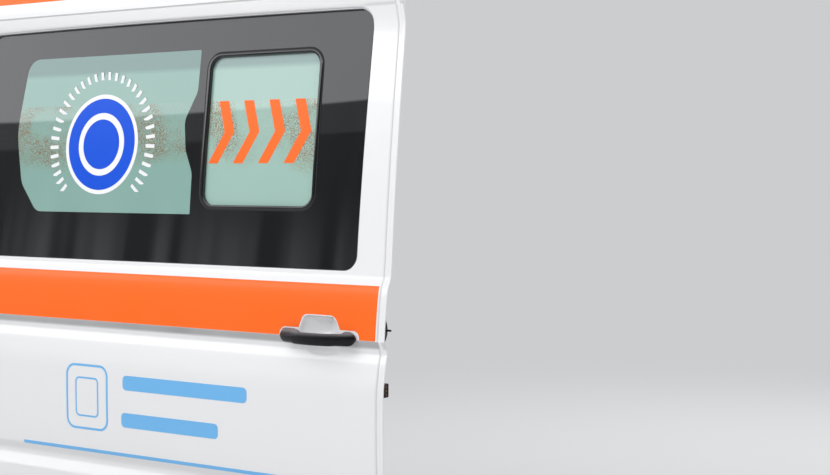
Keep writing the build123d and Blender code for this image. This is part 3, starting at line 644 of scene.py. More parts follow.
def painted(name, colour, dust, lacquer=1.0, outside=True):
    """Sprayed paint under clear lacquer, with faint orange peel, dust low down and greyer below the
    belt.
    Outside it has painted shade in a band under the belt's lip and in the creases and the groove."""
    finish, tree, shader, place = new_finish(name)
    cloudy = noise(tree, place, 3.0, 3.0, 0.6)
    apart = node(tree, "ShaderNodeSeparateXYZ", {0: place})
    forward, height = apart.outputs["X"], apart.outputs["Z"]
    amount = sum_of(tree, "MULTIPLY", cloudy, step_between(tree, height, *DUST_FADE, dust, 0.0))
    lower_grey = step_between(tree, height, *LOWER_GREY_EDGE, dust * 0.24, 0.0)
    shade = mixed(tree, amount, mixed(tree, lower_grey, colour, LOWER_GREY), DUST)
    if outside:
        # Painted shade, mottled, in a band under the belt's lip; weaker on the rim by the shut
        # edge.
        band = sum_of(
            tree, "MULTIPLY", step_between(tree, height, *PAINTED_SHADE_FOOT),
            step_between(tree, height, *PAINTED_SHADE_HEAD, 1.0, 0.0)
        )
        band = sum_of(tree, "MULTIPLY", band, step_between(tree, forward, *PAINTED_SHADE_FRONT, 1.0, 0.45))
        film = sum_of(tree, "MULTIPLY", band, sum_of(tree, "MULTIPLY_ADD", cloudy, 0.6, dust))
        # Thin lines of painted shade in the two creases over the window, in the groove by the shut
        # edge and low beside the window.
        shade_lines = [(height, middle, half * 1.2, shade_strength) for middle, half, _, shade_strength in CREASES]
        shade_lines.append((forward, DOOR[1] - GROOVE_SHADE[0], *GROOVE_SHADE[1:]))
        for trace in shade_lines:
            film = sum_of(tree, "MAXIMUM", film, soft_line(tree, *trace))
        below, reach, shade_strength, run_out = PILLAR_SHADE_LINE
        line = soft_line(tree, height, CREASES[1][0] - below, reach, shade_strength)
        middle, half = (WINDOW[0] + WINDOW[1]) / 2, (WINDOW[1] - WINDOW[0]) / 2
        from_middle = sum_of(tree, "ABSOLUTE", sum_of(tree, "SUBTRACT", forward, middle))
        beside = step_between(tree, from_middle, half - run_out, half)
        film = sum_of(tree, "MAXIMUM", film, sum_of(tree, "MULTIPLY", line, beside))
        shade = mixed(tree, film, shade, PAINTED_SHADE)
    rough = sum_of(tree, "MULTIPLY_ADD", amount, 0.5, 0.32)
    peel = {"Strength": 0.035, "Distance": 0.0004, "Height": noise(tree, place, 260.0, 1.0)}
    bump = node(tree, "ShaderNodeBump", peel).outputs[0]
    coat = {"Coat Weight": lacquer, "Coat Roughness": 0.03, "Coat Normal": bump}
    feed(shader, {"Base Color": shade, "Roughness": rough, **coat})
    return finish


white_paint = painted("white_paint", PAINT, 0.35)

skin_outline = rounded_box(DOOR, DOOR_CORNER, -0.0018)
across, upwards = (DOOR[0] - 0.01, DOOR[1] + 0.01), (DOOR[2] - 0.01, DOOR[3] + 0.01)
skin_lines = levels(heights_along(DOOR[2] + 0.002, DOOR[3] - 0.002, skin_at), *across)
from_edges = np.array(
    (6, 7.4, 7.8, 8.2, 8.7, 9.2, 9.7, 10.2, 10.7, 11.2, 11.6, 12, 14, 17, 19.6, 20, 20.5, 60)
) * MM
skin_lines += uprights(DOOR[1] - from_edges, *upwards) + uprights(DOOR[0] + from_edges, *upwards)
skin_lines += uprights((-1.2, -1.05, -0.9, -0.7, -0.5, -0.3, -0.15), *upwards)
for height, half, _, _ in CREASES:
    skin_lines += levels(
        [height + half * share for share in (-1.0, -0.7, -0.35, 0.0, 0.35, 0.7, 1.0)], *across
    )
for out in (0.0003, 0.0008, 0.0015, 0.0024, 0.0035, 0.0047, 0.0060):
    skin_lines.append(closed(window_line(GLASS_GAP + out)))
cup_lines = []
for share in (
    1.0, 0.98, 0.95, 0.92, 0.89, 0.86, 0.83, 0.80, 0.76, 0.72, 0.67, 0.61, 0.54, 0.46, 0.37, 0.27,
    0.16, 0.06
):
    cup_lines.append(closed(np.array(CUP_BOWL[:2]) + (cup_mouth - np.array(CUP_BOWL[:2])) * share))
hem = mm(
    (0.7, 0.1), (1.3, 0.5), (1.8, 1.4), (1.8, 2.6), (1.3, 3.3), (0.5, 3.6), (-10.5, 3.6),
    (-11.2, 3.3), (-11.2, 2)
)
lip = mm((0.8, 0.2), (1.6, 0.8), (2, 1.8), (2, 16.5), (0.8, 16.5), (0.4, 3))
skin = pressed_sheet(
    "painted_skin", [skin_outline, cut_out], skin_y, SHEET, skin_lines + cup_lines, {0: hem, 1: lip}
)
fit(skin, white_paint, "door", ["outer_skin", "handle_cup"])

# Reflective stripes: two orange films laid over the paint below and above the window.
# The lower one is cut back round the cup and the grip's ends, where a thin white edge shows.
FILM = 0.00018
ORANGE = (1.0, 0.140, 0.003, 1.0)
LOWER_STRIPE = (-1.3120, 0.1155, 0.7260, 0.8520)
UPPER_STRIPE = (-1.233, 0.118, 1.5775, 1.6960)
GRIP_EDGE = (-0.1645, 0.0700, 0.7060, 0.7466)


def skin_film(x, z):
    """Y of a film's outer face on the skin."""
    return skin_y(x, z) - FILM


orange_film = painted("orange_film", ORANGE, 0.0, 0.15)
around_grip = [rounded_box(GRIP_EDGE, 0.0185), pulled_in(cup_mouth, -0.0015)]
for name, box, holes in (
    ("lower_stripe", LOWER_STRIPE, around_grip), ("upper_stripe", UPPER_STRIPE, [])
):
    outline = rounded_box(box, 0.0015, 0.0, 3)
    fit(
        pressed_sheet(name, [outline, *holes], skin_film, FILM - 0.00002, skin_lines), orange_film,
    )

# Fixed window: a single curved pane of toughened glass, bonded to the flange. Dark film covers it
# but for one clear field with a pale green frosted film, cut by hand with a wavy front edge.
GLASS_INSET = 0.001
GLASS_WALL = 0.004
SLIDER = (-0.458, -0.088, 1.019, 1.416)
SLIDER_CORNER = 0.045
SLIDER_LAP = 0.005
# Heights of the bands of the film: its grain from GRAIN_FOOT up to GRAIN_HEAD; painted shade,
# slightly darker from GRAIN_HEAD up and deeper from DEEP_EDGE up
GRAIN_FOOT = (1.195, 1.275)
GRAIN_HEAD = (1.290, 1.293)
DEEP_EDGE = (1.366, 1.384)
DARK_GLASS = (0.0045, 0.005, 0.006, 1.0)
MINT = (0.245, 0.410, 0.362, 1.0)
PANE_SECTION = (
    (822, 22.3, None, None), *SKIN_SECTION[16:20], (1525, 95, 0.124, 0.124),
    (1645, 109.7, None, None)
)
pane_heights, pane_insets = smooth_curve(PANE_SECTION, 0.012)


def pane_at(z):
    """Y of the skin's own curve over the window, carried on straight past belt and brow."""
    return OUTERMOST + np.interp(np.asarray(z) - BOTTOM, pane_heights, pane_insets)


def glass_front(x, z):
    """Y of the outer face of the glass."""
    return pane_at(z) + GLASS_INSET


def glazed(name, colour, grain_colour, grain, shade=(1.0, 1.0, 1.0)):
    """Glass with a film on its back, smooth outside: a band of fine grain, with painted shade over
    it, slightly darker, and deeper along the top edge."""
    finish, tree, shader, place = new_finish(name)
    speck = noise(tree, place, 330.0, 2.0)
    patch = noise(tree, place, 9.0, 2.0)
    height = node(tree, "ShaderNodeSeparateXYZ", {0: place}).outputs["Z"]
    low = step_between(tree, sum_of(tree, "MULTIPLY_ADD", patch, 0.16, height), *GRAIN_FOOT)
    edge = step_between(tree, height, *GRAIN_HEAD, 1.0, 0.0)
    specks = step_between(tree, speck, 0.45, 0.56)
    dense = step_between(tree, patch, 0.38, 0.58, 0.20, 1.0)
    band = sum_of(tree, "MULTIPLY", sum_of(tree, "MULTIPLY", low, edge), dense)
    amount = sum_of(tree, "MULTIPLY", sum_of(tree, "MULTIPLY", band, specks), grain)
    # Painted shade: the film is slightly darker over the grain band and deeper along its top edge.
    shaded_upper = (*(c * 0.92 for c in colour[:3]), 1.0)
    deeper = (*(c * part for c, part in zip(colour, shade)), 1.0)
    base = mixed(tree, edge, shaded_upper, colour)
    upper = mixed(tree, step_between(tree, height, *DEEP_EDGE), base, deeper)
    gloss = {
        "Roughness": 0.5, "Specular IOR Level": 0.15, "Coat Weight": 1.0, "Coat Roughness": 0.0,
        "Coat IOR": 1.6
    }
    feed(shader, {"Base Color": mixed(tree, amount, upper, grain_colour), **gloss})
    return finish


dark_film = glazed("dark_glass", DARK_GLASS, DARK_GLASS, 0.0)
mint_film = glazed("mint_glass", MINT, (0.23, 0.15, 0.08, 1.0), 0.95, (0.62, 0.62, 0.66))

clear_corners = mm(
    (-1045, 1008), (-486, 1008), (-486, 1112), (-512, 1170), (-522, 1245), (-484, 1318),
    (-482, 1424), (-1108, 1424), (-1138, 1225), (-1108, 1085),
)
clear_radii = (0.040, 0.003, 0.050, 0.060, 0.045, 0.050, 0.003, 0.045, 0.200, 0.060)
clear_field = rounded_polygon(clear_corners, clear_radii, 7)
slider_hole = rounded_box(SLIDER, SLIDER_CORNER, -SLIDER_LAP, 13)
glass_lines = levels(
    heights_along(0.870, 1.510, lambda z: glass_front(0.0, z), 0.02, 0.02), -1.35, 0.1
)
glass_lines += uprights((-1.18, -1.0, -0.85, -0.7, -0.6, -0.5, -0.3, -0.2, -0.05), 0.85, 1.52)
glass = pressed_sheet(
    "window_pane", [window_line(-0.0008), slider_hole], glass_front, GLASS_WALL,
    [*glass_lines, closed(clear_field)], {0: mm((0.6, 0.5), (0.8, 1.2), (0.8, 2.8), (0.6, 3.5))},
    zones=lambda u, v: inside(clear_field, u, v)
)
fit(glass, dark_film, "door", ["window_glass"])
glass.data.materials.append(mint_film)

# Window gap filler: a soft black rubber strip pushed into the gap between glass and painted flange,
# painted lighter grey as painted light in the shaded gap.
BLACK_RUBBER = (0.012, 0.012, 0.013, 1.0)


def grained(name, colour, roughness, scale, depth, spread=0.25, metallic=0.0, coat=0.0):
    """A plain finish with fine relief, slightly mottled in tone and gloss."""
    finish, tree, shader, place = new_finish(name)
    mottle = noise(tree, place, 14.0, 4.0, 0.65)
    deeper = (*(c * (1.0 - spread) for c in colour[:3]), 1.0)
    tone = mixed(tree, mottle, deeper, colour)
    rough = sum_of(tree, "MULTIPLY_ADD", mottle, 0.18, roughness - 0.09)
    grain = {"Strength": 0.5, "Distance": depth, "Height": noise(tree, place, scale, 2.0)}
    bump = node(tree, "ShaderNodeBump", grain).outputs[0]
    gloss = {"Metallic": metallic, "Coat Weight": coat, "Coat Roughness": 0.12}
    feed(shader, {"Base Color": tone, "Roughness": rough, "Normal": bump, **gloss})
    return finish


def face_outwards(made):
    """Turns the faces of a closed piece outwards."""
    mesh = made.data
    points = np.empty(len(mesh.vertices) * 3)
    mesh.vertices.foreach_get("co", points)
    points = points.reshape(-1, 3)
    mesh.calc_loop_triangles()
    corners = np.array([t.vertices for t in mesh.loop_triangles])
    a, b, c = (points[corners[:, k]] - points.mean(axis=0) for k in range(3))
    if np.einsum("ij,ij->i", a, np.cross(b, c)).sum() < 0:
        mesh.flip_normals()


def tree_with(name, sizes):
    """An empty Geometry Nodes tree with a mesh in, a mesh out and named sizes."""
    tree = bpy.data.node_groups.new(name, "GeometryNodeTree")
    tree.interface.new_socket("Geometry", in_out="INPUT", socket_type="NodeSocketGeometry")
    for title, value in sizes.items():
        kinds = {bpy.types.Object: "NodeSocketObject", bpy.types.Material: "NodeSocketMaterial"}
        kind = kinds.get(value, kinds.get(type(value), "NodeSocketFloat"))
        tree.interface.new_socket(title, in_out="INPUT", socket_type=kind)
    tree.interface.new_socket("Geometry", in_out="OUTPUT", socket_type="NodeSocketGeometry")
    given = tree.nodes.new("NodeGroupInput")
    return tree, given


def grow_from(name, seed, tree, sizes, body="door"):
    """Runs a tree on a seed mesh with the given sizes, and keeps the result as a plain piece."""
    modifier = seed.modifiers.new(name, "NODES")
    modifier.node_group = tree
    for item in tree.interface.items_tree:
        if item.in_out == "INPUT" and item.name in sizes:
            modifier[item.identifier] = sizes[item.name]
    ready = seed.evaluated_get(bpy.context.evaluated_depsgraph_get())
    mesh = bpy.data.meshes.new_from_object(ready)
    made = bpy.data.objects.new(name, mesh)
    bpy.context.scene.collection.objects.link(made)
    bpy.data.objects.remove(seed)
    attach(made, body)
    return made


def seed_points(points, along, edges=()):
    """Points that a tree works on, with the direction that each one faces."""
    made = plain_object("seed", points, edges)
    facing = made.data.attributes.new("facing", "FLOAT_VECTOR", "POINT")
    facing.data.foreach_set("vector", np.asarray(along, float).ravel())
    return made


def hand_out(tree, given, mesh):
    """Ends a tree: gives its mesh the finish and hands it out."""
    coloured = node(
        tree, "GeometryNodeSetMaterial", {0: mesh.outputs[0], "Material": given.outputs["Finish"]}
    )
    node(tree, "NodeGroupOutput", {0: coloured.outputs[0]})


def faced(tree):
    """The direction that each point of a tree's seed faces."""
    return node(
        tree, "GeometryNodeInputNamedAttribute", {"Name": "facing"}, data_type="FLOAT_VECTOR"
    ).outputs[0]


strip_sizes = {"Profile": bpy.types.Object, "Finish": bpy.types.Material}
strip_tree, given = tree_with("strip_along_a_path", strip_sizes)
line = node(strip_tree, "GeometryNodeMeshToCurve", {0: given.outputs["Geometry"]})
faced_line = node(
    strip_tree, "GeometryNodeSetCurveNormal", {0: line.outputs[0], "Normal": faced(strip_tree)},
    mode="FREE"
)
shape = node(strip_tree, "GeometryNodeObjectInfo", {"Object": given.outputs["Profile"]})
section = node(strip_tree, "GeometryNodeMeshToCurve", {0: shape.outputs["Geometry"]})
swept = node(
    strip_tree, "GeometryNodeCurveToMesh",
    {0: faced_line.outputs[0], "Profile Curve": section.outputs[0]}
)
hand_out(strip_tree, given, swept)


def round_links(count):
    """Edges that join points to a closed line."""
    return [(k, (k + 1) % count) for k in range(count)]


def band(name, loop, profile, surface, finish, slot):
    """A strip along a closed outline on a surface; its section is steps outwards and inboard."""
    loop = np.asarray(loop, float)
    u, v = loop[:, 0], loop[:, 1]
    tip = 0.0005
    slope_u = (surface(u + tip, v) - surface(u - tip, v)) / (2 * tip)
    slope_v = (surface(u, v + tip) - surface(u, v - tip)) / (2 * tip)
    facing = np.stack((slope_u, slope_v, -np.ones_like(u)), axis=1)
    facing /= np.linalg.norm(facing, axis=1)[:, None]
    turn = np.array(SIDE)
    path = np.stack((u, v, surface(u, v)), axis=1) @ turn.T
    seed = seed_points(path, facing @ turn.T, round_links(len(path)))
    rows = [(-back, out, 0.0) for out, back in profile]
    section = plain_object("section", rows, round_links(len(rows)))
    made = grow_from(name, seed, strip_tree, {"Profile": section, "Finish": finish})
    bpy.data.objects.remove(section)
    made.data.polygons.foreach_set("use_smooth", [True] * len(made.data.polygons))
    made.data.set_sharp_from_angle(angle=math.radians(40.0))
    face_outwards(made)
    return made


rubber = grained("black_rubber", BLACK_RUBBER, 0.55, 900.0, 0.0002)
filler_section = mm((-0.6, 1.4), (0.4, 0.8), (1.2, 1), (2.3, 2.6), (2.3, 8.5), (-0.6, 8.5))


def pane_line(x, z):
    """Y of the window's own curve, without the pane's setback."""
    return pane_at(z)


# Painted light: the filler's black rubber is made lighter grey, so the gap in the lip's shade reads
# lighter.
gap_rubber_painted_light = grained("gap_rubber_painted_light", (0.085, 0.086, 0.090, 1.0), 0.55, 900.0, 0.0002)
band(
    "window_gap_filler", window_line(0.0), filler_section, pane_line, gap_rubber_painted_light, "black_seal"
)

# Sliding window: a glossy black frame clipped round the opening in the fixed glass, with a thin
# rubber lip, and behind it a small clear pane with the same frosted film, running in two black
# channels.
GLASS_BACK = GLASS_INSET + GLASS_WALL
PANE_FRONT = GLASS_BACK + 0.004
PANE_WALL = 0.0032
FRAME_RIM = 0.013
PANE_LAP = 0.007

frame_black = glazed("frame_black", (0.006, 0.006, 0.007, 1.0), (0.006, 0.006, 0.007, 1.0), 0.0)
frame_section = mm(
    (-13.4, 7.8), (-13.4, 0.8), (-13.1, 0.1), (-12.5, -0.2), (-4.2, -0.2), (-3.6, 0.1), (-3.3, 0.8),
    (-3.3, 1.2), (-5.2, 1.2), (-5.2, 7.8),
)
lip_section = mm((-3.4, 0.6), (-2.9, 0.1), (-0.6, 0.1), (0, 0.6), (0, 1.2), (-3.4, 1.2))
slider_line = finer(rounded_box(SLIDER, SLIDER_CORNER, 0.0, 13))
slider_frame = band(
    "sliding_window_frame", slider_line, frame_section, pane_line, frame_black, "black_frame"
)
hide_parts("slider_frame")
band("sliding_window_lip", slider_line, lip_section, pane_line, rubber, "black_seal")

pane_loop = rounded_box(SLIDER, SLIDER_CORNER, PANE_LAP - FRAME_RIM - 0.0006, 13)


def slider_front(x, z):
    """Y of the outer face of the sliding pane."""
    return pane_at(z) + PANE_FRONT


# Painted light: the same film as on the fixed pane, made lighter because this pane sits set back in
# shade behind the frame.
slider_film_lit = glazed(
    "slider_glass", (0.350, 0.525, 0.462, 1.0), (0.27, 0.18, 0.10, 1.0), 0.90, (0.60, 0.60, 0.64)
)
slider_rim = mm((0.5, 0.4), (0.6, 1), (0.6, 2.2), (0.5, 2.8))
slider_pane = pressed_sheet(
    "sliding_pane", [pane_loop], slider_front, PANE_WALL, glass_lines, {0: slider_rim}
)
fit(slider_pane, slider_film_lit, "door", ["slider_pane"])

# Films on the glass: a plain blue roundel with a white rim inside a ring of small white ticks on
# the fixed pane, and four slanted orange chevrons on the sliding pane.
FILM_LIFT = 0.0005
ROUNDEL = (-0.811, 1.188)
ROUNDEL_RADIUS = 0.121
RIM_WIDTH = 0.011
INNER_RING = (0.083, 0.066)
TICK_RING = 0.176
TICK_COUNT = 34
# Angles of the first tick and from first to last, in degrees
TICK_SWEEP = (-42, 264)
# Foot of the rearmost chevron, the step to the next one, and how far each leans forward as it rises
CHEVRON = (-0.440, 1.136)
CHEVRON_STEP = 0.0805
CHEVRON_LEAN = 0.15
CHEVRON_SHAPE = mm((0, 0), (31, 0), (67, 78), (31, 156), (0, 156), (36, 78))


def plain_film(name, colour):
    """Cast vinyl: an even colour with a satin surface and a trace of texture."""
    return grained(name, colour, 0.40, 700.0, 0.00005, 0.02, coat=0.15)


def circle(centre, radius, count=72):
    """A closed round outline."""
    angles = 2 * math.pi * np.arange(count) / count
    return np.column_stack(
        (centre[0] + radius * np.cos(angles), centre[1] + radius * np.sin(angles))
    )


def film_piece(name, loops, surface, finish, rows):
    """A thin cut film lying on a curved face."""
    made = pressed_sheet(name, loops, lambda u, v: surface(u, v) - FILM_LIFT, FILM_LIFT * 0.8, rows)
    return fit(made, finish)


blue_film = plain_film("blue_film", (0.001, 0.080, 0.660, 1.0))
blue_film.node_tree.nodes["Principled BSDF"].inputs["Specular IOR Level"].default_value = 0.25
white_film = plain_film("white_film", (0.86, 0.87, 0.88, 1.0))
chevron_film = plain_film("chevron_film", ORANGE)
film_piece("roundel", [circle(ROUNDEL, ROUNDEL_RADIUS)], glass_front, blue_film, glass_lines)
rim = [circle(ROUNDEL, ROUNDEL_RADIUS + RIM_WIDTH), circle(ROUNDEL, ROUNDEL_RADIUS)]
film_piece("roundel_rim", rim, glass_front, white_film, glass_lines)
ring = [circle(ROUNDEL, radius) for radius in INNER_RING]
film_piece(
    "roundel_ring", ring, lambda u, v: glass_front(u, v) - FILM_LIFT, white_film, glass_lines
)
for k in range(4):
    x, z = CHEVRON[0] + CHEVRON_STEP * k, CHEVRON[1]
    outline = [(x + along + CHEVRON_LEAN * up, z + up) for along, up in CHEVRON_SHAPE]
    film_piece(
        f"chevron_{k + 1}", [rounded_polygon(outline, 0.002, 3)], slider_front, chevron_film,
        glass_lines
    )


def copy_on_points(tree, given, item, pivot_axis="AUTO", smooth=False, spun=False):
    """Ends a tree: a copy of one item on each point, turned the way that the point faces. A spun
    copy is also turned about its own axis by chance, and scaled."""
    upright = node(
        tree, "FunctionNodeAlignRotationToVector", {"Vector": faced(tree)}, axis="Z",
        pivot_axis=pivot_axis
    )
    settings = {
        "Points": given.outputs["Geometry"], "Instance": item, "Rotation": upright.outputs[0]
    }
    if spun:
        whole_turn = 6.28
        spin = node(
            tree, "FunctionNodeRandomValue", {"Seed": given.outputs["Seed"], 3: whole_turn},
            data_type="FLOAT"
        )
        around = node(tree, "ShaderNodeCombineXYZ", {2: spin.outputs[1]})
        turned_by = node(tree, "FunctionNodeEulerToRotation", {0: around.outputs[0]})
        both = {0: upright.outputs[0], 1: turned_by.outputs[0]}
        settings["Rotation"] = node(
            tree, "FunctionNodeRotateRotation", both, rotation_space="LOCAL"
        ).outputs[0]
        settings["Scale"] = given.outputs["Scale"]
    placed = node(tree, "GeometryNodeInstanceOnPoints", settings)
    whole = node(tree, "GeometryNodeRealizeInstances", {0: placed.outputs[0]})
    if smooth:
        whole = node(tree, "GeometryNodeSetShadeSmooth", {0: whole.outputs[0]})
    hand_out(tree, given, whole)


tick_sizes = {"Length": 0.031, "Width": 0.0095, "Thickness": 0.0003, "Finish": white_film}
tick_tree, given = tree_with("ring_of_ticks", tick_sizes)
tick_size = node(
    tick_tree, "ShaderNodeCombineXYZ",
    {0: given.outputs["Width"], 1: given.outputs["Thickness"], 2: given.outputs["Length"]}
)
tick = node(tick_tree, "GeometryNodeMeshCube", {"Size": tick_size.outputs[0]})
copy_on_points(tick_tree, given, tick.outputs[0], "Y")
tick_spots, tick_facing = [], []
for k in range(TICK_COUNT):
    angle = math.radians(TICK_SWEEP[0] + TICK_SWEEP[1] * k / (TICK_COUNT - 1))
    x, z = ROUNDEL[0] + TICK_RING * math.cos(angle), ROUNDEL[1] + TICK_RING * math.sin(angle)
    tick_spots.append((x, float(glass_front(x, z)) - FILM_LIFT, z))
    tick_facing.append((math.cos(angle), 0.0, math.sin(angle)))
grow_from("tick_ring", seed_points(tick_spots, tick_facing), tick_tree, tick_sizes)

# Outer grip: one moulded bar of satin black plastic, bowed outwards, with lozenge ends that are
# screwed to the door through two small rubber gaskets.
GRIP_X = -0.0450
GRIP_HALF = 0.1080
GRIP_OUTER = -0.2985
GRIP_BACK = -0.2565
# Heights of the bar's underside and of its top, and how much its ends stand up over that
GRIP_LOW = 0.7107
GRIP_TOP = 0.7400
GRIP_END_RISE = 0.0058
# How far the bar bows back towards its ends, how much more its front end does, and how thick it is
GRIP_BOW = 0.0262
GRIP_FRONT_BOW = 0.0050
GRIP_THICK = 0.0148


def ringed(name, rings, crease, closed=False):
    """A closed object from rings of the same count, with its ends drawn together."""
    count = len(rings[0])
    points = np.concatenate([np.asarray(r, float) for r in rings])
    faces = []
    spans = len(rings) if closed else len(rings) - 1
    for n in range(spans):
        low, high = n * count, (n + 1) % len(rings) * count
        for k in range(count):
            m = (k + 1) % count
            faces.append((low + k, low + m, high + m, high + k))
    if not closed:
        points = np.vstack((points, np.mean(rings[0], axis=0), np.mean(rings[-1], axis=0)))
        first, last, end = len(points) - 2, len(points) - 1, (len(rings) - 1) * count
        for k in range(count):
            m = (k + 1) % count
            faces += [(m, k, first), (end + k, end + m, last)]
    made = add_mesh(name, points, faces, crease=crease)
    face_outwards(made)
    return made


def lofted(name, rings, finish, body="door", crease=50.0, closed=False):
    """A closed piece from rings of the same count."""
    return fit(ringed(name, rings, crease, closed), finish, body)


def squircle(half_width, half_height, power, chamfer=None, count=40):
    """Points of a rounded rectangle about its middle; a chamfer softens its outer top corner."""
    angles = 2 * math.pi * np.arange(count) / count
    c, s = np.cos(angles), np.sin(angles)
    if chamfer:
        power = np.where((c < 0) & (s > 0), chamfer, power)
    wide = half_width * np.sign(c) * np.abs(c) ** (2 / power)
    high = half_height * np.sign(s) * np.abs(s) ** (2 / power)
    return np.column_stack((wide, high))


def raised(flat, along):
    """A flat outline as points at one distance along the third way."""
    return np.column_stack((flat, np.full(len(flat), along)))


def soft_step(value, low, high):
    """A smooth step from nought to one between two limits."""
    t = np.clip((value - low) / (high - low), 0.0, 1.0)
    return t * t * (3 - 2 * t)


GRIP_BLACK = (0.004, 0.003, 0.005, 1.0)
# Painted highlight: the grip turns lighter grey from this height up, where its top faces catch the
# light.
GRIP_HIGHLIGHT = (0.170, 0.168, 0.180, 1.0)
GRIP_HIGHLIGHT_FROM = (0.7325, 0.7425)
satin_black = grained("satin_black", GRIP_BLACK, 0.38, 1100.0, 0.00006)
grip_black_lit_top = grained("grip_black_lit_top", GRIP_BLACK, 0.34, 1100.0, 0.00006)
grip_tree = grip_black_lit_top.node_tree
grip_place = node(grip_tree, "ShaderNodeTexCoord").outputs["Object"]
grip_height = node(grip_tree, "ShaderNodeSeparateXYZ", {0: grip_place}).outputs["Z"]
# Mixes the painted highlight into the grip's black from the highlight's height up.
grip_tone_lit = mixed(
    grip_tree, step_between(grip_tree, grip_height, *GRIP_HIGHLIGHT_FROM), GRIP_BLACK, GRIP_HIGHLIGHT
)
feed(grip_tree.nodes["Principled BSDF"], {"Specular IOR Level": 0.30, "Base Color": grip_tone_lit})
grip_rings = []
for share in np.concatenate(
    ([-0.9995, -0.995, -0.985], np.linspace(-0.97, 0.97, 61), [0.985, 0.995, 0.9995])
):
    far = abs(share)
    end = math.sqrt(max(1 - (max(far - 0.845, 0.0) / 0.155) ** 2, 0.0))
    foot = float(soft_step(abs(share - 0.205), 0.485, 0.585))
    top = GRIP_TOP + GRIP_END_RISE * foot
    low = GRIP_LOW + 0.0010 * far * far
    middle, half = (top + low) / 2, (top - low) / 2 * max(end, 0.04)
    forward = float(soft_step(share, 0.60, 1.0))
    outer = GRIP_OUTER + GRIP_BOW * share * share + GRIP_FRONT_BOW * forward
    slim = outer + GRIP_THICK
    back = slim + (GRIP_BACK - slim) * float(soft_step(far, 0.46, 0.62))
    outer += 0.005 * (1 - end)
    section = squircle((back - outer) / 2, half, 2.3, 2.3 - 0.9 * foot, 64)
    x = GRIP_X + GRIP_HALF * share
    grip_rings.append([(x, (outer + back) / 2 + y, middle + z) for y, z in section])
grip = lofted("outer_grip_bar", grip_rings, grip_black_lit_top)
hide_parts("outer_grip")

gasket_rim = mm((0.4, 0.6), (0.5, 4), (1.2, 8), (1.4, 20))
for name, x_low in (("rear", -0.1460), ("front", 0.0290)):
    outline = rounded_box((x_low, x_low + 0.0250, 0.7150, 0.7400), 0.0115)
    gasket = pressed_sheet(
        f"grip_gasket_{name}", [outline], lambda u, v: np.full_like(u, GRIP_BACK - 0.0008), 0.0220,
        (), {0: gasket_rim}
    )
    fit(gasket, rubber)
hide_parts("grip_feet")

# Inner panel: one deep pressing in thinner white paint, with a hem flange, drawn side walls, a
# window frame and long stiffening beads; spot-welded to the flange and folded in by the outer
# skin's hem.
INNER_SECTION = (
    (0, 66, None, None), (440, 66, 0, 0), (880, 66, 0, 0.43), (942, 93, 0.43, 0.1063),
    (1233, 124, None, None), (1525, 155, 0.1063, 0.0418), (1750, 164.4, None, None),
    (1980, 174, None, None),
)
TRAY = (-1.298, 0.100, -0.030, 1.870)
TRAY_CORNER = 0.022
WALL_RUN = 0.009
REVEAL = (-1.232, 0.021, 0.913, 1.465)
REVEAL_CORNER = 0.023
inner_heights, inner_insets = smooth_curve(INNER_SECTION, 0.004)


def inner_at(z):
    """Y of the inner panel's face at a height."""
    return OUTERMOST + np.interp(np.asarray(z) - BOTTOM, inner_heights, inner_insets)


def inner_face(x, z):
    """Y of the inner panel's face, for pieces that lie on it."""
    return inner_at(z) + 0.0 * x


# Columns: centre x, centre z, half length, half width, depth
BEADS = mm(
    (-930, 1822, 280, 13, 4.5), (-330, 1822, 205, 13, 4.5), (-930, 52, 260, 20, 6),
    (-330, 52, 195, 20, 6), (-640, -8, 580, 7, 3),
)


def panel_y(x, z):
    """Y of the inner panel's cabin side: flange, drawn wall, face and beads."""
    from_tray = -distance_out(tray_loop, x, z) + WALL_RUN / 2
    flange = skin_at(z) + 2 * SHEET
    y = flange + (inner_at(z) - flange) * soft_step(from_tray, 0.0, WALL_RUN)
    for cx, cz, long, wide, deep in BEADS:
        past = np.hypot(np.maximum(np.abs(x - cx) - long, 0.0), z - cz)
        y = y - deep * (1 - soft_step(past, wide * 0.45, wide))
    return y


tray_loop = rounded_box(TRAY, TRAY_CORNER)
panel_lines = levels(heights_along(-0.066, 1.906, skin_at, 0.08, 0.05), -1.35, 0.15)
panel_lines += levels(heights_along(0.78, 1.50, inner_at, 0.05, 0.2), -1.35, 0.15)
for share in (-0.15, 0.0, 0.08, 0.16, 0.26, 0.4, 0.6, 0.74, 0.84, 0.92, 1.0, 1.2):
    panel_lines.append(closed(rounded_box(TRAY, TRAY_CORNER, WALL_RUN * (0.5 - share), 7)))
for cx, cz, long, wide, _ in BEADS:
    for grow in (0.45, 0.6, 0.75, 0.9, 1.0):
        reach = wide * grow
        box = (cx - long - reach, cx + long + reach, cz - reach, cz + reach)
        panel_lines.append(closed(rounded_box(box, reach - 0.0002, 0.0, 7)))
reveal_rim = mm(
    (1.2, 0.4), (2.2, 1.4), (2.6, 3), (2.6, 45), (1, 47.8), (-23, 48.5), (-23, 47.3), (0.4, 46.6),
    (1.4, 44.6), (1.4, 3), (0.8, 1.8),
)
panel_outlines = [
    rounded_box(DOOR, DOOR_CORNER, -0.0032), rounded_box(REVEAL, REVEAL_CORNER, 0.0026)
]
inner_panel = pressed_sheet(
    "inner_pressing", panel_outlines, panel_y, -SHEET, panel_lines, {1: reveal_rim}
)
inner_paint = painted("inner_paint", PAINT, 0.35, outside=False)
fit(inner_panel, inner_paint, "door", ["inner_panel"])

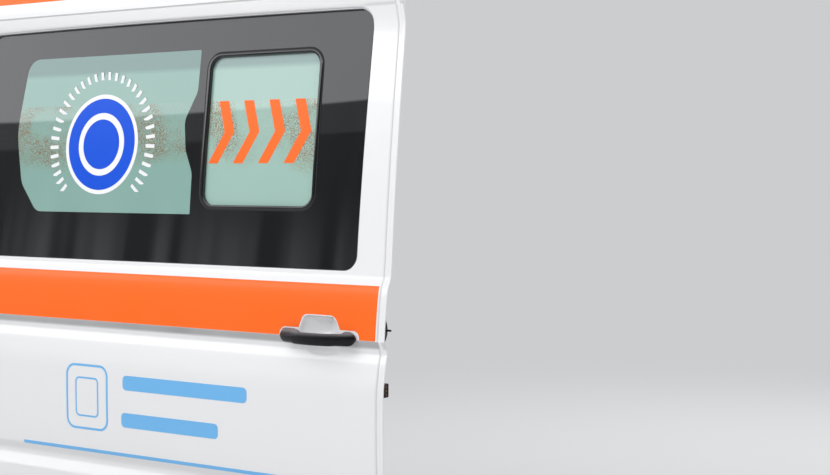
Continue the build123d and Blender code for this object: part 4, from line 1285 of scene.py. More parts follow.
# Window trim and linings: vacuum-formed pale grey plastic with a fine leather grain. The trim wraps
# the reveal; each lining has a raised field and is pressed on with round clips.
LINING_GREY = (0.66, 0.67, 0.66, 1.0)
LOWER_LINING = (-1.268, 0.070, 0.141, 0.875)
UPPER_LINING = (-1.268, 0.070, 1.503, 1.751)
LINING_CORNER = 0.026
FIELD_BORDER = 0.042
FIELD_RISE = 0.006
FIELD_RUN = 0.010
FIELD_CORNER = 0.022
LINING_LIFT = 0.004
CLIP_STEP = 0.19
lining_plastic = grained("lining_plastic", LINING_GREY, 0.46, 620.0, 0.00025, 0.05)
trim_section = mm(
    (33.8, 0.2), (33.8, 1.6), (32.6, 2.8), (30, 3.2), (4, 3.2), (1, 2.6), (-1.4, 0.8), (-2.8, -2.6),
    (-2.9, -46), (-0.4, -46), (-0.4, -2), (3, 0.2),
)
reveal_line = finer(rounded_box(REVEAL, REVEAL_CORNER))
window_trim = band(
    "window_reveal_trim", reveal_line, trim_section, inner_face, lining_plastic, "lining_grey"
)
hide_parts("window_trim")

lining_rim = mm((0.8, 0.2), (1.5, 0.9), (1.8, 2), (1.8, 3.6))
clip_points = []
for name, box, old in (
    ("lower", LOWER_LINING, "lower_lining"), ("upper", UPPER_LINING, "upper_lining")
):
    field = (
        box[0] + FIELD_BORDER, box[1] - FIELD_BORDER, box[2] + FIELD_BORDER, box[3] - FIELD_BORDER
    )
    field_loop = rounded_box(field, FIELD_CORNER)

    def lining_y(x, z):
        """Y of a lining's face, with its raised field."""
        share = soft_step(-distance_out(field_loop, x, z), 0.0, FIELD_RUN)
        return inner_at(z) + LINING_LIFT + FIELD_RISE * share

    lining_lines = levels(
        heights_along(box[2], box[3], inner_at, 0.05, 0.06), box[0] - 0.01, box[1] + 0.01
    )
    for share in (0.0, 0.12, 0.25, 0.4, 0.5, 0.6, 0.75, 0.88, 1.0):
        lining_lines.append(closed(rounded_box(field, FIELD_CORNER, -FIELD_RUN * share, 7)))
    outline = rounded_box(box, LINING_CORNER, -0.0018)
    lining = pressed_sheet(
        f"{name}_lining_panel", [outline], lining_y, -0.0038, lining_lines, {0: lining_rim}
    )
    fit(lining, lining_plastic, "door", [old])
    around = finer(rounded_box(box, LINING_CORNER, -0.020), 0.004)
    legs = np.linalg.norm(np.roll(around, -1, axis=0) - around, axis=1)
    place = np.concatenate(([0.0], np.cumsum(legs)))
    for mark in np.linspace(0.0, place[-1], int(place[-1] / CLIP_STEP), endpoint=False):
        x, z = around[min(int(np.searchsorted(place, mark)), len(around) - 1)]
        clip_points.append((x, float(inner_at(z)) + LINING_LIFT, z))

dome_sizes = {"Radius": 1.0, "Height": 1.0, "Finish": bpy.types.Material}
dome_tree, given = tree_with("round_heads", dome_sizes)
ball = node(dome_tree, "GeometryNodeMeshUVSphere", {"Segments": 20, "Rings": 8, "Radius": 1.0})
flat = node(
    dome_tree, "ShaderNodeCombineXYZ",
    {0: given.outputs["Radius"], 1: given.outputs["Radius"], 2: given.outputs["Height"]}
)
head = node(dome_tree, "GeometryNodeTransform", {0: ball.outputs[0], "Scale": flat.outputs[0]})
copy_on_points(dome_tree, given, head.outputs[0], smooth=True)


def domes(name, spots, facing, radius, height, finish, slot, body="door"):
    """Low round heads on a list of spots; facing is one direction for all, or one for each."""
    facing = [facing] * len(spots) if isinstance(facing[0], (int, float)) else facing
    sizes = {"Radius": radius, "Height": height, "Finish": finish}
    return grow_from(name, seed_points(spots, facing), dome_tree, sizes, body)


domes("lining_clips", clip_points, (0, 1, 0), 0.009, 0.003, lining_plastic, "lining_grey")

# Spot welds: shallow round marks along the hem flange, under the paint.
weld_places = [(x, z) for z in np.arange(0.02, 1.86, 0.055) for x in (-1.316, 0.116)]
weld_places += [(x, z) for x in np.arange(-1.265, 0.09, 0.055) for z in (-0.050, 1.890)]
weld_points = [(x, float(skin_at(z)) + 2 * SHEET, z) for x, z in weld_places]
weld_facing = [
    (0.0, 1.0, -float(skin_at(z + 0.001) - skin_at(z - 0.001)) / 0.002) for _, z in weld_places
]
domes("spot_welds", weld_points, weld_facing, 0.0032, 0.0004, inner_paint, "body_paint")

# Perimeter seal: extruded sponge rubber, a hollow bulb on a stiff clip base, pushed on round the
# inner face.
SEAL = (-1.284, 0.086, 0.125, 1.767)
SEAL_CORNER = 0.042
seal_section = mm((-5, 0.2), (5, 0.2), (5.6, 1.2), (5.4, 4.6), (4, 5.6))
for k in range(13):
    angle = math.radians(-50 + 280 * k / 12)
    seal_section.append((0.0052 * math.cos(angle), 0.0088 + 0.0050 * math.sin(angle)))
seal_section += mm((-4, 5.6), (-5.4, 4.6), (-5.6, 1.2))
seal_path = finer(rounded_box(SEAL, SEAL_CORNER, -0.006, 13))
seal = band("perimeter_seal_bulb", seal_path, seal_section, inner_face, rubber, "black_seal")
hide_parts("perimeter_seal")

# Light-blue markings: thin cut vinyl laid on the lower skin. They are a nested pair of plain
# rounded frames, two broad bars and one long pinstripe.
light_blue = plain_film("light_blue_film", (0.150, 0.450, 0.800, 1.0))
FRAMES = (-0.884, -0.732, 0.437, 0.610)
INSET = 0.034
inner_frame = (FRAMES[0] + INSET, FRAMES[1] - INSET, FRAMES[2] + INSET, FRAMES[3] - INSET)
for name, box, radius, stroke in (
    ("marking_frame", FRAMES, 0.030, 0.0060), ("marking_frame_inner", inner_frame, 0.014, 0.0045)
):
    outer, inner = rounded_box(box, radius), rounded_box(box, radius, -stroke)
    film_piece(name, [outer, inner], skin_y, light_blue, skin_lines)
for name, box, radius in (
    ("marking_bar_high", (-0.678, -0.263, 0.552, 0.590), 0.012),
    ("marking_bar_low", (-0.684, -0.356, 0.455, 0.493), 0.012),
    ("marking_pinstripe", (-1.054, -0.052, 0.3780, 0.3870), 0.004),
):
    film_piece(name, [rounded_box(box, radius)], skin_y, light_blue, skin_lines)

# Window bond: a thick bead of black polyurethane that glues the glass to the flange all round.
BOND_MIDDLE = 0.0115
bond_section = mm(
    (-7, 5), (7, 5), (7.6, 6.2), (7.8, 7.8), (7, 9.4), (5.8, 10), (-5.8, 10), (-7, 9.4),
    (-7.8, 7.8), (-7.6, 6.2)
)
bond = band(
    "window_bond_bead", window_line(-BOND_MIDDLE), bond_section, pane_line, rubber, "black_seal"
)
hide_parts("window_bond")

# Sliding window channels and catch: black anodised aluminium channels glued to the glass above and
# below the opening, and a moulded finger catch with a raised thumb pad at the pane's front side.
FLAT = Matrix.Identity(3)
ENDS = Matrix(((0, 0, 1), (1, 0, 0), (0, 1, 0)))
RAIL_REAR = -0.809
RAIL_FRONT = -0.086
RAIL_DEPTH = 0.0152
RAIL_WALL = 0.0030
anodised = grained(
    "black_anodised", (0.030, 0.030, 0.033, 1.0), 0.34, 260.0, 0.00004, 0.15, metallic=0.85
)
fitting_black = grained("fitting_black", (0.016, 0.016, 0.017, 1.0), 0.50, 850.0, 0.00018, 0.12)


def plate(name, outline, low, high, finish, body="door", place=SIDE, holes=(), radius=0.0010):
    """A flat plate with rounded edges, from its low to its high face."""
    thickness = high - low
    edge = min(radius, thickness / 2)
    loops = [pulled_in(outline, edge)] + [pulled_in(hole, -edge) for hole in holes]
    rims = {k: round_rim(thickness, edge, 3) for k in range(len(loops))}
    made = pressed_sheet(name, loops, lambda u, v: np.full_like(u, low), thickness, (), rims, place)
    return fit(made, finish, body)


def stack(name, outline, steps, finish, place=SIDE):
    """A block with one outline, pulled in by a step at each depth."""
    turn = np.array(place)
    rings = []
    for inset, along in steps:
        flat = pulled_in(outline, inset)
        rings.append(raised(flat, along) @ turn.T)
    return lofted(name, rings, finish, crease=40.0)


for name, edge, away in (("lower", SLIDER[2] + 0.006, -1), ("upper", SLIDER[3] - 0.006, 1)):
    face = float(pane_at(edge))
    inner, outer = edge - away * 0.0066, edge + away * 0.0034
    shelf, floor_edge = inner + away * 0.0042, outer - away * RAIL_WALL
    low, high = face + GLASS_BACK, face + RAIL_DEPTH
    slot_low, slot_high = face + PANE_FRONT - 0.0002, face + PANE_FRONT + PANE_WALL + 0.0006
    corners = (
        (low, outer), (high, outer), (high, inner), (slot_high, inner), (slot_high, floor_edge),
        (slot_low, floor_edge), (slot_low, shelf), (low, shelf),
    )
    section = rounded_polygon(corners, 0.0004, 3)
    plate(
            f"slider_channel_{name}", section, RAIL_REAR, RAIL_FRONT, anodised,
            place=ENDS, radius=0.0003
        )
    foot, top = sorted((inner, outer))
    stop = rounded_box((RAIL_REAR + 0.002, RAIL_REAR + 0.012, foot + 0.001, top - 0.001), 0.002)
    steps = mm((0.4, 0), (0, 0.4), base=slot_low) + mm((0, 1.2), (0.6, 2), base=high)
    stack(f"slider_channel_stop_{name}", stop, steps, rubber)
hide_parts("slider_rails")

CATCH = (-0.132, -0.108, 1.1945, 1.2405)
catch_face = float(pane_at((CATCH[2] + CATCH[3]) / 2)) + PANE_FRONT + PANE_WALL
catch_steps = mm(
    (0.6, -0.4), (0, 0.4), (0, 3.6), (1, 5), (3.4, 5.8), (4, 5.2), (4.6, 5), base=catch_face
)
catch = stack(
    "slider_catch_body", rounded_box(CATCH, 0.006), catch_steps, fitting_black
)
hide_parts("slider_catch")
thumb = rounded_box(
    (CATCH[0] + 0.006, CATCH[1] - 0.006, CATCH[2] + 0.008, CATCH[3] - 0.008), 0.0045
)
thumb_steps = mm((0, 4.6), (0, 9), (0.8, 10.2), (2, 10.8), base=catch_face)
stack("slider_catch_thumb", thumb, thumb_steps, satin_black)

# Bolts and screws used on every fitting: zinc-plated flange bolts, and pan-head screws with a
# six-lobed recess, zinc-plated or black. Each is set on its spot and turned about its own axis.
zinc = grained("zinc_plate", (0.50, 0.50, 0.47, 1.0), 0.36, 70.0, 0.00006, 0.22, metallic=0.9)


def head_rings(rows, hexagon=(), lobed=()):
    """Rings of a bolt or screw head; the numbered rows are hexagons or have six lobes."""
    count = 48
    angles = 2 * math.pi * np.arange(count) / count
    rings = []
    for k, (radius, along) in enumerate(mm(*rows)):
        flat = np.full(count, radius)
        if k in hexagon:
            flat = radius / np.cos((angles + math.pi / 6) % (math.pi / 3) - math.pi / 6)
        elif k in lobed:
            flat = radius * (1 + 0.10 * np.cos(6 * angles))
        rings.append(raised(circle((0, 0), flat, count), along))
    return rings


bolt_rows = (
    (8.2, 0), (8.4, 0.4), (8.3, 1.1), (7, 1.9), (5.3, 2), (5.3, 5.5), (5.1, 6.2), (4, 6.3),
    (3.5, 5.9), (1, 5.8)
)
screw_rows = (
    (5, 0), (5.2, 0.4), (5, 1.4), (4.3, 2.3), (3.2, 2.8), (2.4, 2.9), (2.3, 2.7), (2.2, 1), (0.4, 1)
)
bolt_head = ringed("bolt_pattern", head_rings(bolt_rows, hexagon=(4, 5)), 35.0)
screw_head = ringed("screw_pattern", head_rings(screw_rows, lobed=(5, 6, 7)), 35.0)
fastener_sizes = {"Head": bpy.types.Object, "Scale": 1.0, "Seed": 3, "Finish": bpy.types.Material}
fastener_tree, given = tree_with("fasteners_on_spots", fastener_sizes)
head = node(fastener_tree, "GeometryNodeObjectInfo", {"Object": given.outputs["Head"]})
copy_on_points(fastener_tree, given, head.outputs["Geometry"], spun=True)


def fasteners(name, head, spots, facing, finish, scale=1.0):
    """Copies of one head on a list of spots that all face one way."""
    sizes = {"Head": head, "Scale": scale, "Seed": 3, "Finish": finish}
    return grow_from(name, seed_points(spots, [facing] * len(spots)), fastener_tree, sizes)


# Bump stops: four rubber buffers pushed into the hem, which meet the body's frame when the door
# shuts.
AXES = {"X": [2, 0, 1], "Y": [0, 2, 1], "Z": [0, 1, 2]}


def turned(name, rows, centre, axis, finish, body="door", closed=False):
    """A turned piece: rows of radius and distance along its axis from the centre."""
    rings = []
    for radius, along in rows:
        ring = raised(circle((0, 0), radius, 48), along)
        rings.append(ring[:, AXES[axis]] + np.array(centre))
    return lofted(name, rings, finish, body, 32.0, closed)


stop_rows = mm(
    (8, 0), (8, 1.8), (6.2, 2.6), (6, 3.6), (7.4, 4.6), (7.6, 8), (7, 10.4), (5.6, 11.7), (3, 12),
    (2.6, 11.2), (0.4, 11)
)
stops = []
for x in (-1.316, 0.118):
    for z in (0.260, 1.300):
        spot = (x, float(skin_at(z)) + 2 * SHEET - 0.0002, z)
        stops.append(
            turned(f"bump_stop_{len(stops) + 1}", stop_rows, spot, "Y", rubber)
        )
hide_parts("bump_stops")

# Inner pull handle: a moulded black loop of rounded section on two feet, each foot screwed through
# the lining.
PULL_X = -0.170
PULL = (0.500, 0.760)
LINING_FACE = -0.184
# Y at which the loop's feet start to bend, and the radius of the bend
PULL_STAND = -0.1660
PULL_BEND = 0.0180
pull_path = []
for z, side in ((PULL[0], 1), (PULL[1], -1)):
    foot = [
        (LINING_FACE - 0.0005, z + side * 0.0110, 1.06),
        (LINING_FACE + 0.006, z + side * 0.0110, 1.0)
    ]
    for k in range(7):
        angle = math.pi / 2 * k / 6
        out, up = PULL_BEND * math.sin(angle), 0.0290 - PULL_BEND * math.cos(angle)
        foot.append((PULL_STAND + out, z + side * up, 1.0 - 0.10 * k / 6))
    pull_path += foot if side > 0 else foot[::-1]
middle = []
for t in np.linspace(0.06, 0.94, 15):
    bow = 0.0018 * math.sin(math.pi * t)
    middle.append(
        (PULL_STAND + PULL_BEND + bow, PULL[0] + 0.029 + (PULL[1] - PULL[0] - 0.058) * t, 0.90)
    )
pull_path = pull_path[:9] + middle + pull_path[9:]
pull_points = np.array([(y, z) for y, z, _ in pull_path])
pull_ahead = np.gradient(pull_points, axis=0)
pull_ahead /= np.linalg.norm(pull_ahead, axis=1)[:, None]
pull_rings = []
for (y, z, size), (ty, tz) in zip(pull_path, pull_ahead):
    section = squircle(0.0106 * size, 0.0098 * size, 3.0)
    pull_rings.append([(PULL_X + a, y - tz * b, z + ty * b) for a, b in section])
pull = lofted("pull_handle_loop", pull_rings, fitting_black)
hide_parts("pull_handle")
foot_steps = mm((0, -0.4), (0, 2.2), (0.8, 3.2), (2, 3.6), base=LINING_FACE)
pull_spots = []
for name, z, side in (("low", PULL[0], 1), ("high", PULL[1], -1)):
    low, high = sorted((z - side * 0.012, z + side * 0.026))
    foot = rounded_box((PULL_X - 0.0130, PULL_X + 0.0130, low, high), 0.010)
    stack(f"pull_handle_foot_{name}", foot, foot_steps, fitting_black)
    pull_spots.append((PULL_X, LINING_FACE + 0.0035, z - side * 0.0050))
fasteners("pull_handle_screws", screw_head, pull_spots, (0, 1, 0), zinc, 0.9)

# Inner release: a black moulded bezel with a dished well, and a chromed lever that hinges at the
# top.
RELEASE = (-0.035, 0.710)
BEZEL = (RELEASE[0] - 0.037, RELEASE[0] + 0.037, RELEASE[1] - 0.075, RELEASE[1] + 0.075)
WELL = (RELEASE[0] - 0.020, RELEASE[0] + 0.020, RELEASE[1] - 0.051, RELEASE[1] + 0.051)
WELL_CORNER = 0.012
WELL_RUN = 0.0035
# Height of the bezel's middle, of its sides below that, and of the well's floor, over the lining
BEZEL_CROWN = (0.0070, 0.0016, 0.0024)
well_loop = rounded_box(WELL, WELL_CORNER)


def bezel_y(x, z):
    """Y of the bezel's face: crowned, with a well behind the lever."""
    crown = BEZEL_CROWN[0] - BEZEL_CROWN[1] * ((x - RELEASE[0]) / 0.037) ** 2
    well = soft_step(-distance_out(well_loop, x, z), 0.0, WELL_RUN)
    return LINING_FACE + crown + (BEZEL_CROWN[2] - crown) * well


well_lines = [
    closed(rounded_box(WELL, WELL_CORNER, -WELL_RUN * share, 7))
    for share in (0.0, 0.2, 0.4, 0.6, 0.8, 1.0)
]
well_lines += uprights([RELEASE[0] + x for x in (-0.030, -0.024, 0.024, 0.030)], BEZEL[2], BEZEL[3])
bezel_rim = mm((0.9, 0.3), (1.6, 1), (2, 2.2), (2, 5.6), (0.8, 5.6), (0.6, 2.2))
bezel = pressed_sheet(
    "release_bezel_moulding", [rounded_box(BEZEL, 0.016, -0.0020)], bezel_y, -0.0016, well_lines,
    {0: bezel_rim}
)
fit(bezel, fitting_black, "door", ["release_bezel"])
bezel_spots = [(RELEASE[0], LINING_FACE + 0.0069, RELEASE[1] + side * 0.0635) for side in (-1, 1)]
fasteners(
    "release_bezel_screws", screw_head, bezel_spots, (0, 1, 0), fitting_black, 0.85
)

chrome = grained("satin_chrome", (0.66, 0.67, 0.68, 1.0), 0.20, 40.0, 0.00002, 0.05, metallic=1.0)
# Columns: height, half width, how far in the middle lies, thickness
lever_rows = (
    (757.7, 2, -160.3, 2.2), (757, 11, -160.3, 4.8), (754.5, 15, -160.3, 6),
    (748, 16.6, -160.2, 6.2), (730, 16.8, -160.4, 5.8), (700, 16.8, -161.2, 5),
    (680, 16.8, -161, 4.8), (670, 16.8, -160, 4.8), (666, 16.6, -159.2, 5),
    (663.4, 15.6, -158.8, 4.6), (662.4, 12, -158.8, 3.6), (662.1, 3, -158.8, 1.2),
)
lever_rings = []
for z, half, y, thick in mm(*lever_rows):
    lever_rings.append([(RELEASE[0] + a, y + b, z) for a, b in squircle(half, thick / 2, 3.4)])
lever = lofted("release_lever_paddle", lever_rings, chrome, crease=60.0)
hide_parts("release_lever")
stem = rounded_box((RELEASE[0] - 0.0130, RELEASE[0] + 0.0130, 0.7345, 0.7565), 0.005)
stem_steps = mm((0, 2.2), (0, 6), (3, 12), (3, 22.8), base=LINING_FACE)
stack("release_lever_stem", stem, stem_steps, chrome)
hinge_rows = mm((0.4, -19.8), (2.6, -19.8), (3, -19.4), (3, 19.4), (2.6, 19.8), (0.4, 19.8))
turned(
    "release_hinge_pin", hinge_rows, (RELEASE[0], LINING_FACE + 0.0092, 0.7455), "X", zinc,
)

# Shut-face guides: a half-moon wedge of black nylon with a steel locating pin at the front, and a
# plain wedge at the back; both slide into pockets in the body as the door shuts.
WEDGE_Z = 0.751
PIN_Y = -0.2364
# Where the front wedge and its half moon start, how far that stands out, and its half height
WEDGE = (0.100, 0.1240, 0.0078, 0.0285)
front_wedge = [(WEDGE[0], WEDGE_Z - 0.0290)]
for k in range(17):
    t = -1 + 2 * k / 16
    front_wedge.append((WEDGE[1] + WEDGE[2] * (1 - t * t), WEDGE_Z + WEDGE[3] * t))
front_wedge.append((WEDGE[0], WEDGE_Z + 0.0290))
wedge_steps = mm(
    (2, -247.4), (0.4, -246.8), (0, -245.5), (0, -242), (0.8, -241.2), (0.8, -239.8), (0, -239),
    (0, -234.5), (0.8, -233.7), (0.8, -232.3), (0, -231.5), (0, -228.2), (0.6, -227), (2, -226.4),
)
wedge = stack("guide_wedge_front", front_wedge, wedge_steps, fitting_black)
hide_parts("front_wedge")
dark_steel = grained(
    "dark_steel", (0.020, 0.020, 0.022, 1.0), 0.36, 90.0, 0.00003, 0.3, metallic=0.5
)
pin_rows = mm(
    (0.4, 129), (4, 129), (4, 133.5), (3.6, 134), (2.5, 134.1), (2.5, 145.5), (1.9, 147.2),
    (1, 147.9), (0.3, 148)
)
pin = turned("locating_pin_steel", pin_rows, (0.0, PIN_Y, WEDGE_Z), "X", dark_steel)
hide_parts("locating_pin")
rear_corners = mm(
    (-1298, 1087), (-1327, 1089), (-1334, 1099), (-1334, 1121), (-1327, 1131), (-1298, 1133)
)
rear_outline = rounded_polygon(rear_corners, (0.0005, 0.004, 0.004, 0.004, 0.004, 0.0005), 5)
rear_steps = mm(
    (2.4, -200.2), (0.6, -199.6), (0, -198.4), (0, -193), (0.8, -192.2), (0.8, -187.2), (0, -186.4),
    (0, -181), (0.6, -179.8), (2.4, -179.2),
)
rear_wedge = stack("guide_wedge_rear", rear_outline, rear_steps, fitting_black)
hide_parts("rear_wedge")

# Contact block: a black moulding on the front shut face, with three sprung copper contacts that
# feed the door.
contact_rim = rounded_box((-0.2524, -0.2324, 0.5970, 0.6290), 0.0025)
contact_steps = mm(
    (0, 100), (0, 136.5), (0.4, 137.5), (1, 138), (2.4, 138), (2.8, 137.4), (2.8, 136.2), (3.4, 136)
)
contact = stack(
    "contact_block_moulding", contact_rim, contact_steps, fitting_black, place=ENDS
)
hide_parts("contact_block")
copper = grained("bare_copper", (0.34, 0.155, 0.085, 1.0), 0.34, 120.0, 0.00003, 0.35, metallic=0.9)
contact_spots = [(0.1362, -0.2424, 0.613 + step * 0.0095) for step in (-1, 0, 1)]
contacts = domes(
    "sprung_contacts", contact_spots, (1, 0, 0), 0.0030, 0.0037, copper, "contact_copper"
)
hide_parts("contact_pins")

# Locks: two latch cases of zinc-plated steel on the shut faces, each with an open mouth for the
# body's striker, a dark forked claw across the mouth, and three pan-head screws.
claw_steel = grained(
    "claw_steel", (0.045, 0.045, 0.048, 1.0), 0.42, 90.0, 0.00004, 0.3, metallic=0.8
)
LOCK_Z = 0.490
lock_base = rounded_box((-0.2452, -0.2110, 0.435, 0.545), 0.008)
mouth = mm(
    (-242, 440), (-213, 440), (-213, 481), (-229, 484), (-229, 496), (-213, 499), (-213, 540),
    (-242, 540)
)
lock_cover = rounded_polygon(mouth, (0.006, 0.006, 0.003, 0.005, 0.005, 0.003, 0.006, 0.006), 5)
lock_case = pulled_in(rounded_polygon(mouth, 0.005, 5), 0.0010)
claw_corners = mm(
    (-225.5, 470), (-215, 473), (-212.5, 485), (-218, 483.8), (-221.5, 487.5), (-221.5, 495),
    (-213, 496.5), (-215, 506), (-225.5, 508),
)
lock_claw = rounded_polygon(
    claw_corners, (0.003, 0.003, 0.001, 0.002, 0.002, 0.001, 0.001, 0.003, 0.003), 4
)
# Columns: piece, outline, start and end off the wall, finish, slot, rounding of its edges
lock_pieces = (
    ("plate", lock_base, 0.0, 0.0030, zinc, "zinc_steel", 0.0008),
    ("cover", lock_cover, 0.0070, 0.0098, zinc, "zinc_steel", 0.0009),
    ("case", lock_case, 0.0028, 0.0072, fitting_black, "black_fitting", 0.0004),
    ("claw", lock_claw, 0.0032, 0.0068, claw_steel, "zinc_steel", 0.0006),
)
for name, wall, away, old in (("front", 0.100, 1, "front_lock"), ("rear", -1.298, -1, "rear_lock")):
    for piece, outline, start, end, finish, slot, radius in lock_pieces:
        low, high = sorted((wall + away * start, wall + away * end))
        made = plate(
            f"{name}_lock_{piece}", outline, low, high, finish, place=ENDS, radius=radius
        )
        if piece == "cover":
            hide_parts(old)
    places = ((-0.2355, -0.040), (-0.2355, 0.040), (-0.2370, 0.0))
    spots = [(wall + away * 0.0096, y, LOCK_Z + z) for y, z in places]
    fasteners(f"{name}_lock_screws", screw_head, spots, (away, 0, 0), zinc, 0.80)

# Lower arm and its carriage: a pressed steel arm in black coating, bolted low on the inner panel,
# carries a zinc-plated swivelling carriage with one load roller and two guide rollers that run in
# the sill's rail.
coated = grained(
    "black_coated_steel", (0.022, 0.022, 0.023, 1.0), 0.40, 210.0, 0.00010, 0.2, coat=0.15
)
nylon = grained("roller_nylon", (0.030, 0.030, 0.031, 1.0), 0.45, 320.0, 0.00012, 0.2)
grease = grained("bearing_steel", (0.33, 0.32, 0.30, 1.0), 0.30, 60.0, 0.00004, 0.4, metallic=0.95)


def arc(centre, radius, first, last):
    """Points of an arc between two angles in degrees."""
    angles = np.radians(np.linspace(first, last, 17))
    return [(centre[0] + radius * math.cos(a), centre[1] + radius * math.sin(a)) for a in angles]


def both_faces(rows, half):
    """Rows of a disc's one face, as radius and share of its half width, and then of its other."""
    near = [(r, -half + back * half) for r, back in rows]
    return near + [(r, half - back * half) for r, back in reversed(rows)]


def roller(name, body, centre, axis, radius, half, bore, old):
    """A nylon tread over a shielded ball bearing, with moulding pips on both sides."""
    race = bore + 0.36 * (radius - bore)
    thick, wall = radius - race, race - bore
    # Columns: share of the way out from the race, share of the half width back from the face
    side = (
        (0.0, 0.06), (0.05, 0.0), (0.22, 0.0), (0.30, 0.13), (0.64, 0.13), (0.72, 0.0), (0.86, 0.0),
        (0.96, 0.06), (1.0, 0.20)
    )
    tread = both_faces([(race + share * thick, back) for share, back in side], half)
    piece = turned(f"{name}_tread", tread, centre, axis, nylon, body, True)
    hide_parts(old)
    shield = ((0.0, 0.10), (0.08, 0.05), (0.28, 0.05), (0.33, 0.16), (0.70, 0.16), (0.75, 0.05))
    ring = [(bore + share * wall, back) for share, back in shield] + [(race - 0.00003, 0.05)]
    turned(
        f"{name}_bearing", both_faces(ring, half), centre, axis, grease, body, True
    )
    spots, facing = [], []
    middle = race + 0.47 * thick
    for sign in (-1, 1):
        for angle in [math.pi * k / 3 for k in range(6)]:
            spot = np.array(
                (middle * math.cos(angle), middle * math.sin(angle), sign * 0.86 * half)
            )
            spots.append(tuple(spot[AXES[axis]] + np.array(centre)))
            facing.append(tuple(np.array((0.0, 0.0, sign))[AXES[axis]]))
    domes(f"{name}_pips", spots, facing, 0.11 * thick, 0.10 * half, nylon, "roller_nylon", body)


ARM_THICK = 0.006
ARM_UNDER = 0.050
# The lower arm's rib: its lean for each metre of reach, its height, and where it starts and ends
RIB_LEAN = -0.30
RIB_RISE = 0.0030
RIB_START = (-0.172, -0.158)
RIB_END = (-0.046, -0.032)


def arm_bead(u, v):
    """Z of the lower arm's underside, with a rib pressed upwards along its middle."""
    along = soft_step(v, *RIB_START) * (1 - soft_step(v, *RIB_END))
    middle = RIB_LEAN * (v + 0.02)
    return ARM_UNDER + RIB_RISE * along * (1 - soft_step(np.abs(u - middle), 0.006, 0.014))


arm_outline = [
    (-0.016, -0.1905), (-0.020, 0.0), *arc((0.0, 0.0), 0.020, 180, 0)[1:-1], (0.020, 0.0),
    (0.094, -0.1905)
]
bead_lines = []
for side in (-0.014, -0.011, -0.009, -0.006, 0.0, 0.006, 0.009, 0.011, 0.014):
    bead_lines.append([(RIB_LEAN * (v + 0.02) + side, v) for v in (-0.176, -0.028)])
rib_steps = (-0.172, -0.168, -0.165, -0.162, -0.158, -0.10, -0.046, -0.042, -0.039, -0.036, -0.032)
bead_lines += levels(rib_steps, -0.03, 0.09)
arm_loops = [pulled_in(arm_outline, 0.0012), pulled_in(circle((0.0, 0.0), 0.00605, 40), -0.0006)]
arm_rims = {0: round_rim(ARM_THICK, 0.0012, 3), 1: round_rim(ARM_THICK, 0.0006, 2)}
arm = pressed_sheet(
    "lower_arm_pressing", arm_loops, arm_bead, ARM_THICK, bead_lines, arm_rims, FLAT
)
fit(arm, coated, "door", ["lower_arm"])
lower_flange = rounded_box((-0.016, 0.094, 0.020, 0.120), 0.010)
plate("lower_arm_flange", lower_flange, -0.194, -0.188, coated, radius=0.0012)
flange_spots = [(x, -0.1882, z) for x in (0.000, 0.078) for z in (0.033, 0.106)]
flange_spots.append((0.039, -0.1882, 0.106))
fasteners("lower_arm_bolts", bolt_head, flange_spots, (0, 1, 0), zinc)
# Radius, height, finish and slot of the drops of a weld, and the step from one to the next
WELD_DROP = (0.0032, 0.0026, coated, "black_steel")
WELD_STEP = 0.0022
lower_weld = [
    (x, -0.1876, z) for x in np.arange(-0.013, 0.092, WELD_STEP) for z in (0.0492, 0.0568)
]
domes("lower_arm_weld", lower_weld, (0, 1, 0), *WELD_DROP)

top_outline = rounded_box((-0.052, 0.052, -0.012, 0.015), 0.006)
plate("carriage_top", top_outline, 0.026, 0.030, zinc, "lower_carriage", FLAT)
cheek_corners = mm((-20, 28), (-14, -10), (14, -10), (20, 28))
cheek = rounded_polygon(cheek_corners, (0.002, 0.010, 0.010, 0.002), 9)
cheek_plate = plate("carriage_cheek", cheek, 0.011, 0.015, zinc, "lower_carriage")
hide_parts("lower_carriage")
axle_rows = mm(
    (0.3, -10.3), (6, -10.3), (7.4, -9.9), (8, -8.8), (8, -7.3), (5, -7.3), (5, 7.3), (8, 7.3),
    (8, 16), (7.2, 16.8), (4, 17), (0.3, 17),
)
turned("carriage_axle", axle_rows, (0.0, 0.0, 0.0), "Y", zinc, "lower_carriage")
pivot_rows = mm(
    (0.3, 26.2), (10, 26.2), (10, 49), (9.2, 49.7), (6, 49.7), (6, 56.3), (9.6, 56.3), (10, 56.8),
    (10, 58.4), (9.2, 59.2), (3, 59.3), (2.6, 58.8), (0.3, 58.8),
)
turned("carriage_pivot", pivot_rows, (0.0, 0.0, 0.0), "Z", zinc, "lower_carriage")
guide_rows = mm(
    (0.3, 26.2), (6.2, 26.2), (6.2, 30), (4, 30.3), (4, 42.6), (6.8, 42.6), (7, 43), (7, 44.6),
    (6.2, 45.5), (2, 45.6), (0.3, 45.2),
)
for name, x in (("front", 0.040), ("rear", -0.040)):
    turned(
        f"carriage_guide_axle_{name}", guide_rows, (x, 0.0, 0.0), "Z", zinc,
        "lower_carriage"
    )
roller(
    "lower_load", "lower_load_roller", (0, 0, 0), "Y", 0.020, 0.007, 0.00505, "lower_load_roller"
)
for name, x in (("front", 0.040), ("rear", -0.040)):
    guide = (
        f"lower_guide_{name}", f"lower_guide_{name}", (x, 0, 0.0363), "Z", 0.012, 0.006, 0.00405
    )
    roller(*guide, f"lower_guide_roller_{name}")

